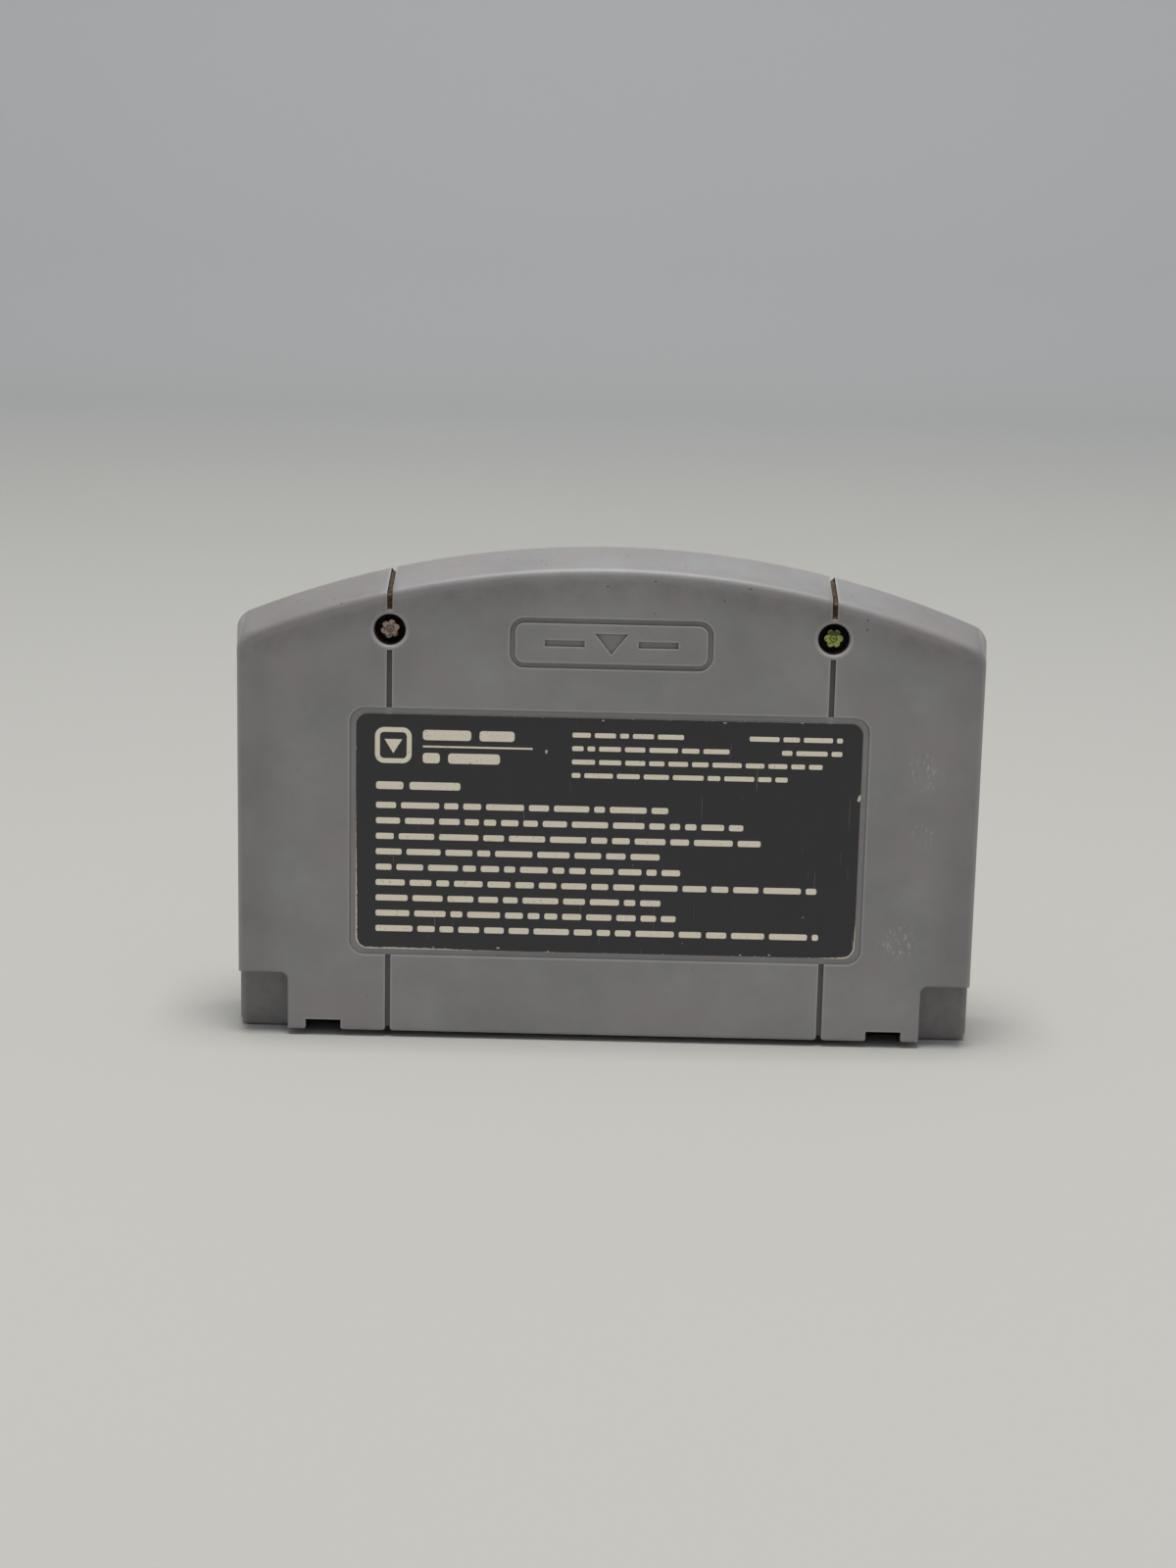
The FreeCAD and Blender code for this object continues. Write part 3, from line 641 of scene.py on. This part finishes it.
def worn_spot(node, place, middle, size, tilt):
    """Mask of one small ragged ellipse in x and z: the stretched distance from its middle, plus noise."""
    turned = node(
        "Mapping", {"Vector": place, "Location": middle, "Rotation": (0, tilt, 0), "Scale": size},
        vector_type="TEXTURE")
    ragged = node("TexNoise", {"Vector": place, "Scale": 1 / SPOT_GRIT, "Detail": 3.0})
    reach = node("VectorMath", [turned], "LENGTH")
    rough = node("Math", [ragged, 0.9, reach], "MULTIPLY_ADD")
    return node("MapRange", [rough, 1.0, 0.85], **SMOOTH)


# Scratches of the rear label: turn and gap in millimetres of each lot, lines to a gap, and stretch
SCRATCHES = ((0.35, 3.1), (-0.9, 4.3), (1.25, 5.2))
SCRATCH_LINES = 2.4
SCRATCH_STRETCH = (7.0, 1.0, 0.2)


def fine_scratches(node, place):
    """Mask of fine scratches: the peaks of noise that is stretched far along each lot's turn."""
    scratches = 0.0
    for turn, gap in SCRATCHES:
        lines = node("Mapping", {"Vector": place, "Rotation": (0, turn, 0), "Scale": SCRATCH_STRETCH})
        lines = node("TexNoise", {"Vector": lines, "Scale": 1 / gap * SCRATCH_LINES, "Detail": 1.0})
        lines = node("MapRange", [lines, 0.76, 0.80, 0.0, 0.22], **SMOOTH)
        scratches = node("Math", [lines, scratches], "MAXIMUM")
    return scratches


# Sizes of the rear film's clouds and of its skin's dimples, and the dimples' relief, in millimetres
FILM_CLOUD_SIZE = 11
FILM_DIMPLE_SIZE = 0.25
FILM_RELIEF = 0.03


def printed_film(settings):
    """Polypropylene film over paper, printed charcoal.

    The eye sees a satin dark ground with a faint cloudiness and fine scratches, and pale paper where the
    edge has worn thin and nicked.
    """
    material, node, place = new_material("printed_polypropylene_film")
    axes = node("SeparateXYZ", [place]).outputs
    worn = worn_edge(node, place, axes, settings)
    for x, z, width, height, tilt in WORN_SPOTS:
        spot = worn_spot(node, place, (x, LABEL_FACE, z), (width, 1.0, height), tilt)
        worn = node("Math", [worn, spot], "MAXIMUM")

    clouds = node("TexNoise", {"Vector": place, "Scale": 1 / FILM_CLOUD_SIZE, "Detail": 4.0})
    lighter = node("HueSaturation", {"Value": 1.18, "Color": settings.film})
    base = node("Mix", [clouds, settings.film, lighter], **COLOURS)
    base = node("Mix", [fine_scratches(node, place), base, settings.paper], **COLOURS)
    base = node("Mix", [worn, base, settings.paper], **COLOURS)

    skin = node("TexNoise", {"Vector": place, "Scale": 1 / FILM_DIMPLE_SIZE, "Detail": 3.0})
    bump = node("Bump", {"Height": skin, "Strength": 0.12, "Distance": FILM_RELIEF * MM})
    rough = node("Math", [skin, 0.14, 0.36], "MULTIPLY_ADD")
    rough = node("Math", [worn, 0.35, rough], "MULTIPLY_ADD")
    return finish_material(material, {"Base Color": base, "Roughness": rough, "Normal": bump, "IOR": 1.49})


# Sizes of the specks where the ink has rubbed through and of its clouds, in millimetres
INK_RUB_SIZE = 0.42
INK_CLOUD_SIZE = 4


def screen_ink(settings):
    """Screen-printed ink: a cream layer that has yellowed a little and rubbed through in specks."""
    material, node, place = new_material("screen_printed_ink")
    rubbed = node(
        "TexNoise", {"Vector": place, "Scale": 1 / INK_RUB_SIZE, "Detail": 6.0, "Roughness": 0.75})
    rubbed = node("MapRange", [rubbed, 0.42, 0.3, 0.0, 0.7], **SMOOTH)
    clouds = node("TexNoise", {"Vector": place, "Scale": 1 / INK_CLOUD_SIZE, "Detail": 4.0})
    darker = node("HueSaturation", {"Value": 0.92, "Saturation": 1.05, "Color": settings.ink})
    base = node("Mix", [clouds, darker, settings.ink], **COLOURS)
    base = node("Mix", [rubbed, base, settings.film], **COLOURS)
    rough = node("Math", [clouds, 0.2, 0.45], "MULTIPLY_ADD")
    return finish_material(material, {"Base Color": base, "Roughness": rough, "IOR": 1.5})


# Fields of the front label, in millimetres up from its lower edge, and sizes of its smears, waves and relief
DISC_MIDDLE = 31.0
DISC_EDGE = (11.1, 10.9)
BAND_TOP = 15.0
FOOT_TOP = 10.0
SMEAR_SIZE = 1.7
WAVE_SIZE = 2.9
WAVE_RELIEF = 0.1


def gloss_film(settings):
    """Polyester film, gloss laminated: plain fields of colour under a clear layer with a fine waviness."""
    material, node, place = new_material("gloss_laminated_polyester")
    height = node("SeparateXYZ", [place]).outputs["Z"]
    bottom, top = FRONT_LABEL[0][2], FRONT_LABEL[1][2]
    tint = node("MapRange", [height, bottom, top], **SMOOTH)
    deep = node("HueSaturation", {"Value": 0.7, "Color": settings.front_ground})
    base = node("Mix", [tint, deep, settings.front_ground], **COLOURS)
    disc = node("VectorMath", [place, (0, FRONT_LABEL[1][1], bottom + DISC_MIDDLE)], "DISTANCE")
    disc = node("MapRange", [disc, *DISC_EDGE], **SMOOTH)
    base = node("Mix", [disc, base, settings.front_pale], **COLOURS)
    band = node("Math", [height, bottom + BAND_TOP], "LESS_THAN")
    base = node("Mix", [band, base, settings.front_band], **COLOURS)
    foot = node("Math", [height, bottom + FOOT_TOP], "LESS_THAN")
    base = node("Mix", [foot, base, settings.front_pale], **COLOURS)
    smears = node("TexNoise", {"Vector": place, "Scale": 1 / SMEAR_SIZE, "Detail": 7.0, "Roughness": 0.7})
    waves = node("TexNoise", {"Vector": place, "Scale": 1 / WAVE_SIZE, "Detail": 2.0})
    bump = node("Bump", {"Height": waves, "Strength": 0.15, "Distance": WAVE_RELIEF * MM})
    rough = node("Math", [smears, 0.12, 0.16], "MULTIPLY_ADD")
    return finish_material(material, {"Base Color": base, "Roughness": rough, "Normal": bump, "IOR": 1.58})


# Dirt and painted shade on the case screws, in millimetres: size and relief of its blotches, radius and half
# width of the dark ring, rises of the crust, radii of the bright rim, and depths below the post's end where
# painted shade sets in
SCREW_BLOTCH_SIZE = 0.5
SCREW_RELIEF = 0.1
RING_RADIUS = 0.5
RING_WIDTH = (0.18, 0.06)
CRUST_RISE = (0.75, 0.95)
BRIGHT_RIM = (1.4, 1.15)
SCREW_SHADE_DEPTHS = (0.05, 0.5)


def tarnished_nickel(settings):
    """Nickel-plated steel, tarnished: dull metal under brown dirt, with green bloom on one screw, and
    painted shade deeper down in the bore.
    """
    material, node, place = new_material("tarnished_nickel_plate")
    axes = node("SeparateXYZ", [place]).outputs
    right = node("Math", [axes[0], 0.0], "GREATER_THAN")
    metal = node("Mix", [right, settings.nickel, settings.verdigris], **COLOURS)
    blotch = node(
        "TexNoise", {"Vector": place, "Scale": 1 / SCREW_BLOTCH_SIZE, "Detail": 6.0, "Roughness": 0.7})
    stain = node("MapRange", [blotch, 0.5, 0.58, 0.0, 0.75], **SMOOTH)
    _, rise, radius = screw_place(node, axes)
    ring = node("Math", [radius, RING_RADIUS], "SUBTRACT")
    ring = node("Math", [ring], "ABSOLUTE")
    ring = node("MapRange", [ring, *RING_WIDTH, 0.0, 0.7], **SMOOTH)
    crust = node("Math", [blotch, 0.8, rise], "MULTIPLY_ADD")
    crust = node("MapRange", [crust, *CRUST_RISE, 0.0, 0.85], **SMOOTH)
    bright_rim = node("MapRange", [radius, *BRIGHT_RIM], **SMOOTH)
    for other in (right, bright_rim):
        crust = node("Math", [crust, other], "MULTIPLY")
    # Painted shade with dirt: the screw grows dark further below the post's end, down in the bore
    depth = node("Math", [axes[1], SCREW_LOW[1]], "SUBTRACT")
    sunk = node("MapRange", [depth, *SCREW_SHADE_DEPTHS], **SMOOTH)
    for other in (ring, crust, sunk):
        stain = node("Math", [stain, other], "MAXIMUM")
    base = node("Mix", [stain, metal, settings.rust_and_shade], **COLOURS)
    shine = node("MapRange", [stain, 0.0, 1.0, 0.5, 0.0])
    rough = node("MapRange", [stain, 0.0, 1.0, 0.5, 0.75])
    bump = node("Bump", {"Height": blotch, "Strength": 0.5, "Distance": SCREW_RELIEF * MM})
    return finish_material(
        material, {"Base Color": base, "Metallic": shine, "Roughness": rough, "Normal": bump})


# Size of the clouds on plated metal and relief of the fine patterns inside the case, in millimetres
PLATE_CLOUD_SIZE = 3.3
FINE_RELIEF = 0.02
ROLLING_STRETCH = (0.15, 1.0, 1.0)


def plated_metal(name, tint, polish, grain):
    """Plated sheet, pin or screw: bright metal with fine rolling lines and faint cloudiness."""
    material, node, place = new_material(name)
    stretched = node("Mapping", {"Vector": place, "Scale": ROLLING_STRETCH})
    lines = node("TexNoise", {"Vector": stretched, "Scale": 1 / grain, "Detail": 4.0})
    clouds = node("TexNoise", {"Vector": place, "Scale": 1 / PLATE_CLOUD_SIZE, "Detail": 4.0})
    darker = node("HueSaturation", {"Value": 0.8, "Color": tint})
    base = node("Mix", [clouds, darker, tint], **COLOURS)
    rough = node("Math", [lines, 0.2, polish], "MULTIPLY_ADD")
    bump = node("Bump", {"Height": lines, "Strength": 0.15, "Distance": FINE_RELIEF * MM})
    return finish_material(
        material, {"Base Color": base, "Metallic": 1.0, "Roughness": rough, "Normal": bump})


# Copper tracks of the board and weave of its glass, in millimetres
TRACK_GAP = 0.12
TRACK_LENGTH = 9.0
TRACK_PITCH = 0.8
TRACK_RELIEF = 0.04
WEAVE_SIZE = 0.625


def lacquered_laminate(settings):
    """Glass-epoxy laminate under green lacquer: glossy, with raised copper tracks."""
    material, node, place = new_material("lacquered_epoxy_laminate")
    axes = node("SeparateXYZ", [place]).outputs
    flat = node("CombineXYZ", [axes[0], axes[2]])
    tracks = node(
        "TexBrick",
        {"Vector": flat, "Scale": 1.0, "Mortar Size": TRACK_GAP, "Mortar Smooth": 0.2,
         "Brick Width": TRACK_LENGTH, "Row Height": TRACK_PITCH}).outputs["Fac"]
    weave = node("TexNoise", {"Vector": place, "Scale": 1 / WEAVE_SIZE, "Detail": 3.0})
    copper = node("Mix", [weave, settings.mask, settings.track], **COLOURS)
    base = node("Mix", [tracks, copper, settings.mask], **COLOURS)
    bump = node("Bump", {"Height": tracks, "Strength": 0.3, "Distance": TRACK_RELIEF * MM}, invert=True)
    rough = node("Math", [weave, 0.15, 0.22], "MULTIPLY_ADD")
    return finish_material(material, {"Base Color": base, "Roughness": rough, "Normal": bump, "IOR": 1.55})


def filled_body(name, tint, polish, grain):
    """Filled resin, ceramic or glaze: a dull body with a fine speckle."""
    material, node, place = new_material(name)
    speckle = node("TexNoise", {"Vector": place, "Scale": 1 / grain, "Detail": 4.0})
    lighter = node("HueSaturation", {"Value": 1.5, "Color": tint})
    base = node("Mix", [speckle, tint, lighter], **COLOURS)
    rough = node("Math", [speckle, 0.2, polish], "MULTIPLY_ADD")
    bump = node("Bump", {"Height": speckle, "Strength": 0.3, "Distance": FINE_RELIEF * MM})
    return finish_material(material, {"Base Color": base, "Roughness": rough, "Normal": bump, "IOR": 1.55})


def dress(material, *names):
    """Gives CAD nodes a material."""
    for name in names:
        for slot in NODES[name].material_slots:
            slot.material = material


def rounded_loops(middles, sizes, radii, steps):
    """Outlines of rounded rectangles in x and z, as one array of shape, point and axis.

    Each corner is a quarter circle about a point one radius in from both sides, and the corners
    follow each other anticlockwise.
    """
    turns = np.linspace(0, math.pi / 2, steps) + np.arange(4)[:, None] * math.pi / 2
    arcs = np.stack([np.cos(turns), np.sin(turns)], axis=-1)
    signs = np.array([[1, 1], [-1, 1], [-1, -1], [1, -1]])
    inner = sizes[:, None] / 2 - radii[:, None, None]
    centres = middles[:, None] + signs * inner
    loops = centres[:, :, None] + arcs * radii[:, None, None, None]
    return loops.reshape(len(middles), -1, 2)


def raised(loops, low, high, start):
    """Flat shapes with a thickness: every outline at both depths, a wall between and a cap at each end."""
    shapes, count, _ = loops.shape
    points = np.empty((shapes, 2, count, 3))
    points[..., [0, 2]] = loops[:, None]
    points[:, 0, :, 1] = low
    points[:, 1, :, 1] = high
    index = start + np.arange(shapes * 2 * count).reshape(shapes, 2, count)
    ahead = np.roll(index, -1, axis=2)
    walls = np.stack([index[:, 0], ahead[:, 0], ahead[:, 1], index[:, 1]], axis=-1)
    caps = np.concatenate([index[:, 0, ::-1], index[:, 1]])
    return points.reshape(-1, 3), walls.reshape(-1, 4).tolist() + caps.tolist()


def raised_frame(loops, low, high, start):
    """Flat frame with a thickness: outer and inner outlines at both depths, joined round by four bands."""
    outside, inside = loops
    count = len(outside)
    points = np.empty((4, count, 3))
    points[..., [0, 2]] = np.stack([outside, outside, inside, inside])
    points[..., 1] = np.array([low, high, high, low])[:, None]
    index = start + np.arange(4 * count).reshape(4, count)
    ahead = np.roll(index, -1, axis=1)
    bands = np.stack([index, ahead, np.roll(ahead, -1, axis=0), np.roll(index, -1, axis=0)], axis=-1)
    return points.reshape(-1, 3), bands.reshape(-1, 4).tolist()


# Print of the rear label, in millimetres from its left edge and down from its top: start, end, middle and
# height of each row
HEADING_ROWS = (
    (10.2, 27.0, 3.2, 1.6), (10.2, 22.0, 6.8, 1.6), (3.1, 16.0, 11.2, 1.2),
    (33.0, 50.0, 2.7, 0.75), (60.0, 74.2, 2.7, 0.75), (33.0, 57.0, 4.8, 0.75), (65.0, 74.2, 4.8, 0.75),
    (33.0, 72.0, 6.9, 0.75), (33.0, 66.0, 9.0, 0.75),
)
RULE = (10.2, 27.0, 5.0, 0.28)
BODY_ROWS = 9
BODY_LEFT = 3.1
BODY_TOP = 14.3
BODY_ENDS = (46.0, 73.0)
EMBLEM_MIDDLE = (5.7, 4.9)
EMBLEM_SIZE = 5.6
EMBLEM_LINE = 0.75
EMBLEM_CORNER = 1.4
EMBLEM_ARC_POINTS = 8
ARROW = ((-1.35, 0.95), (0.0, -1.25), (1.35, 0.95))

# Bars of the print: shortest and longest in heights, rounding in heights, points on a corner, least gap as a
# share of the word gap, draws to a row, and seed of the draws
BAR_SHORTEST = 1.5
BAR_LONGEST = 6.5
BAR_ROUNDING = 0.3
BAR_ARC_POINTS = 4
LEAST_GAP = 0.8
DRAWS = 60
PRINT_SEED = 11


def print_bars(settings):
    """Bars of every row of print as start, end, middle and height, cut into short lengths by gaps.

    The lengths, and the ends of the body's rows, are drawn from seeded even spreads.
    """
    draw = np.random.default_rng(PRINT_SEED)
    height = settings.row_height / MM
    levels = BODY_TOP + np.arange(BODY_ROWS) * settings.row_pitch / MM
    ends = draw.uniform(*BODY_ENDS, BODY_ROWS)
    rows = list(HEADING_ROWS) + [(BODY_LEFT, end, level, height) for end, level in zip(ends, levels)]
    bars = [RULE]
    for start, end, middle, tall in rows:
        gap = settings.word_gap / MM * max(tall / height, LEAST_GAP)
        stops = start + np.cumsum(draw.uniform(BAR_SHORTEST * tall, BAR_LONGEST * tall, DRAWS) + gap)
        stops = stops[stops < end]
        starts = np.concatenate([[start], stops])
        finishes = np.concatenate([stops - gap, [end]])
        wide = finishes - starts > tall
        bars += [(x0, x1, middle, tall) for x0, x1 in zip(starts[wide], finishes[wide])]
    return np.array(bars)


def rear_print(settings):
    """Ink of the rear label: rounded bars in rows, and a framed arrow that points down to the foot."""
    thick = settings.ink_thickness / MM
    depths = (LABEL_FACE + thick / 2, LABEL_FACE - thick)
    bars = print_bars(settings)
    middles = np.stack([LABEL_LEFT + (bars[:, 0] + bars[:, 1]) / 2, LABEL_TOP - bars[:, 2]], axis=1)
    sizes = np.stack([bars[:, 1] - bars[:, 0], bars[:, 3]], axis=1)
    middle = np.array([[LABEL_LEFT + EMBLEM_MIDDLE[0], LABEL_TOP - EMBLEM_MIDDLE[1]]])
    frame_sizes = EMBLEM_SIZE - np.array([[0.0], [2 * EMBLEM_LINE]]) * np.ones(2)
    frame_radii = EMBLEM_CORNER - np.array([0.0, EMBLEM_LINE])
    points = np.empty((0, 3))
    faces = []
    for make, loops in (
        (raised, rounded_loops(middles, sizes, bars[:, 3] * BAR_ROUNDING, BAR_ARC_POINTS)),
        (raised, middle[:, None] + np.array([ARROW])),
        (raised_frame, rounded_loops(middle.repeat(2, axis=0), frame_sizes, frame_radii, EMBLEM_ARC_POINTS)),
    ):
        made, joined = make(loops, *depths, len(points))
        points = np.concatenate([points, made])
        faces += joined
    mesh = bpy.data.meshes.new("rear_print")
    mesh.from_pydata((points * MM).tolist(), [], faces)
    mesh.materials.append(screen_ink(settings))
    piece = bpy.data.objects.new("rear_print", mesh)
    bpy.context.scene.collection.objects.link(piece)
    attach(piece, "root")


class CARTRIDGE_OT_shells(bpy.types.Operator):
    """Finish the two moulded shells"""
    bl_idname = "cartridge.shells"
    bl_label = "Shells"

    def execute(self, context):
        dress(moulded_abs(context.scene.cartridge.shell), "rear_shell", "front_shell")
        return {"FINISHED"}


class CARTRIDGE_OT_labels(bpy.types.Operator):
    """Print and wear the two labels"""
    bl_idname = "cartridge.labels"
    bl_label = "Labels"

    def execute(self, context):
        settings = context.scene.cartridge.label
        dress(printed_film(settings), "rear_label")
        dress(gloss_film(settings), "front_label")
        rear_print(settings)
        return {"FINISHED"}


class CARTRIDGE_OT_case_screws(bpy.types.Operator):
    """Tarnish the two case screws"""
    bl_idname = "cartridge.case_screws"
    bl_label = "Case screws"

    def execute(self, context):
        dress(tarnished_nickel(context.scene.cartridge.metal), "case_screws")
        return {"FINISHED"}


class CARTRIDGE_OT_board(bpy.types.Operator):
    """Finish the board and everything on it"""
    bl_idname = "cartridge.board"
    bl_label = "Board"

    def execute(self, context):
        board = context.scene.cartridge.board
        metal = context.scene.cartridge.metal
        dress(lacquered_laminate(board), "circuit_board")
        dress(plated_metal("gold_plate", metal.gold, polish=0.18, grain=0.15), "edge_contacts")
        dress(
            filled_body("moulded_epoxy", board.resin, polish=0.5, grain=0.12),
            "rom_chip", "lockout_chip", "save_chip")
        dress(
            plated_metal("tinned_copper", metal.tin, polish=0.3, grain=0.1),
            "rom_chip_leads", "lockout_chip_leads", "save_chip_leads", "capacitor_ends", "resistor_ends")
        dress(filled_body("fired_ceramic", board.ceramic, polish=0.45, grain=0.1), "filter_capacitors")
        dress(filled_body("fired_glaze", board.glaze, polish=0.2, grain=0.1), "resistors")
        return {"FINISHED"}


class CARTRIDGE_OT_shields(bpy.types.Operator):
    """Finish the two shields and their screws"""
    bl_idname = "cartridge.shields"
    bl_label = "Shields"

    def execute(self, context):
        metal = context.scene.cartridge.metal
        dress(plated_metal("tinplate", metal.tin, polish=0.24, grain=0.2), "rear_shield", "front_shield")
        dress(plated_metal("zinc_plate", metal.tin, polish=0.35, grain=0.1), "shield_screws")
        return {"FINISHED"}


# Floor and backdrop in metres: how far they reach, where the floor in front gets a seam, and their steps
STAGE_REACH = 2.5
FLOOR_SEAM = -0.6
STAGE_COLUMNS = 11
SWEEP_STEPS = 33


def sweep_mesh(settings):
    """Floor and backdrop: a profile of floor, quarter circle and wall, carried straight along X."""
    wall = settings.wall_distance
    turn = settings.sweep
    near = np.array([[-STAGE_REACH, 0.0], [FLOOR_SEAM, 0.0], [wall - turn, 0.0]])
    angle = np.linspace(0, math.pi / 2, SWEEP_STEPS)[1:]
    arc = np.stack([wall - turn + turn * np.sin(angle), turn * (1 - np.cos(angle))], axis=1)
    profile = np.concatenate([near, arc, [[wall, STAGE_REACH]]])
    across = np.linspace(-STAGE_REACH, STAGE_REACH, STAGE_COLUMNS)
    count = len(profile)
    points = np.empty((len(across), count, 3))
    points[:, :, 0] = across[:, None]
    points[:, :, 1:] = profile[None]
    index = np.arange(len(across) * count).reshape(len(across), count)
    quads = np.stack([index[:-1, :-1], index[1:, :-1], index[1:, 1:], index[:-1, 1:]], axis=-1)
    mesh = bpy.data.meshes.new("floor")
    mesh.from_pydata(points.reshape(-1, 3).tolist(), [], quads.reshape(-1, 4).tolist())
    mesh.shade_smooth()
    return mesh


# Floor paper, in millimetres: size of its clouds, where it turns to the wall's colour, and where painted
# light makes the wall lighter upwards
PAPER_CLOUD_SIZE = 120
FLOOR_TO_WALL = (500.0, 1200.0)
WALL_RISE = (60.0, 200.0)
WALL_PAINTED_LIGHT = (1.0, 1.12)


def matt_paper(settings):
    """Matt paper: pale, with a faint cloudiness, painted light that makes the wall lighter upwards, and no
    shine.
    """
    material, node, place = new_material("matt_paper")
    axes = node("SeparateXYZ", [place]).outputs
    clouds = node("TexNoise", {"Vector": place, "Scale": 1 / PAPER_CLOUD_SIZE, "Detail": 3.0})
    far = node("MapRange", [axes[1], *FLOOR_TO_WALL], **SMOOTH)
    tint = node("Mix", [far, settings.floor, settings.wall], **COLOURS)
    # Painted light: the wall grows lighter with height
    high = node("MapRange", [axes[2], *WALL_RISE, *WALL_PAINTED_LIGHT])
    tint = node("HueSaturation", {"Value": high, "Color": tint})
    darker = node("HueSaturation", {"Value": 0.985, "Color": tint})
    base = node("Mix", [clouds, darker, tint], **COLOURS)
    return finish_material(material, {"Base Color": base, "Roughness": 0.9, "Specular IOR Level": 0.2})


def soft_lamp(settings):
    """Square lamp above and before the object, turned to the middle of its foot."""
    lamp = bpy.data.lights.new("soft_lamp", "AREA")
    lamp.shape = "SQUARE"
    lamp.size = settings.lamp_size
    lamp.energy = settings.lamp_power
    lamp.color = settings.lamp[:3]
    lamp_object = bpy.data.objects.new("soft_lamp", lamp)
    lamp_object.location = (0.0, -settings.lamp_forward, settings.lamp_height)
    aim = Vector((0, 0, 0)) - lamp_object.location
    lamp_object.rotation_euler = aim.to_track_quat("-Z", "Y").to_euler()
    return lamp_object


# Height of direction at which the sky has its horizon level
SKY_FOOT = -0.1


def studio_sky(settings):
    """Light from all round, which grows evenly from low down to straight above."""
    world = bpy.data.worlds.new("studio")
    world.use_nodes = True
    sky = world.node_tree
    sky.nodes.clear()
    height = add(sky, "SeparateXYZ", [add(sky, "TexCoord", {}).outputs["Generated"]]).outputs["Z"]
    level = add(sky, "MapRange", [height, SKY_FOOT, 1.0, settings.horizon_level, settings.zenith_level])
    add(sky, "OutputWorld", [add(sky, "Background", [settings.sky, level])])
    return world


# Camera fitted to the photo: focal length in pixels of its height, place in millimetres, turns in degrees
PICTURE_HEIGHT = 1600
FOCAL_PIXELS = 3014.8
CAMERA_PLACE = (-1.02, -449.35, 142.8)
CAMERA_DOWN = 13.0
CAMERA_ROLL = 1.23
CAMERA_YAW = -0.274
SENSOR = 36.0
CLIP_START = 0.01


def photo_camera():
    """Camera whose axes are the yaw's and the downward tilt's, rolled about the line of sight."""
    down, roll, yaw = (math.radians(angle) for angle in (CAMERA_DOWN, CAMERA_ROLL, CAMERA_YAW))
    forward = Vector((math.sin(yaw) * math.cos(down), math.cos(yaw) * math.cos(down), -math.sin(down)))
    level = Vector((math.cos(yaw), -math.sin(yaw), 0))
    upright = level.cross(forward)
    right = level * math.cos(roll) + upright * math.sin(roll)
    up = upright * math.cos(roll) - level * math.sin(roll)
    camera = bpy.data.cameras.new("camera")
    camera.sensor_width = SENSOR
    camera.lens = FOCAL_PIXELS * SENSOR / PICTURE_HEIGHT
    camera.clip_start = CLIP_START
    camera_object = bpy.data.objects.new("camera", camera)
    turn = Matrix((right, up, -forward)).transposed().to_4x4()
    camera_object.matrix_world = Matrix.Translation(Vector(CAMERA_PLACE) * MM) @ turn
    return camera_object


class CARTRIDGE_OT_stage(bpy.types.Operator):
    """Set the floor, the light and the camera"""
    bl_idname = "cartridge.stage"
    bl_label = "Stage"

    def execute(self, context):
        settings = context.scene.cartridge.stage
        scene = context.scene
        floor = bpy.data.objects.new("floor", sweep_mesh(settings))
        floor.data.materials.append(matt_paper(settings))
        scene.collection.objects.link(floor)
        scene.collection.objects.link(soft_lamp(settings))
        scene.world = studio_sky(settings)
        scene.camera = photo_camera()
        scene.collection.objects.link(scene.camera)
        scene.view_settings.view_transform = "Standard"
        return {"FINISHED"}


PIECES = (
    CARTRIDGE_OT_shells,
    CARTRIDGE_OT_labels,
    CARTRIDGE_OT_case_screws,
    CARTRIDGE_OT_board,
    CARTRIDGE_OT_shields,
    CARTRIDGE_OT_stage,
)


class CARTRIDGE_PT_panel(bpy.types.Panel):
    """Buttons for each group of pieces"""
    bl_idname = "CARTRIDGE_PT_panel"
    bl_label = "Cartridge"
    bl_space_type = "VIEW_3D"
    bl_region_type = "UI"
    bl_category = "Cartridge"

    def draw(self, context):
        for piece in PIECES:
            self.layout.operator(piece.bl_idname)


CLASSES = (
    CartridgeShellSettings,
    CartridgeLabelSettings,
    CartridgeMetalSettings,
    CartridgeBoardSettings,
    CartridgeStageSettings,
    CartridgeSettings,
) + PIECES + (CARTRIDGE_PT_panel,)


def register():
    """Registers every class and hangs the settings on the scene."""
    for cls in CLASSES:
        bpy.utils.register_class(cls)
    bpy.types.Scene.cartridge = PointerProperty(type=CartridgeSettings)


def unregister():
    """Takes the settings and every class away again."""
    del bpy.types.Scene.cartridge
    for cls in reversed(CLASSES):
        bpy.utils.unregister_class(cls)


def main():
    """Registers the add-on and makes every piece."""
    register()
    for piece in PIECES:
        group, name = piece.bl_idname.split(".")
        getattr(getattr(bpy.ops, group), name)()


if __name__ == "__main__":
    main()
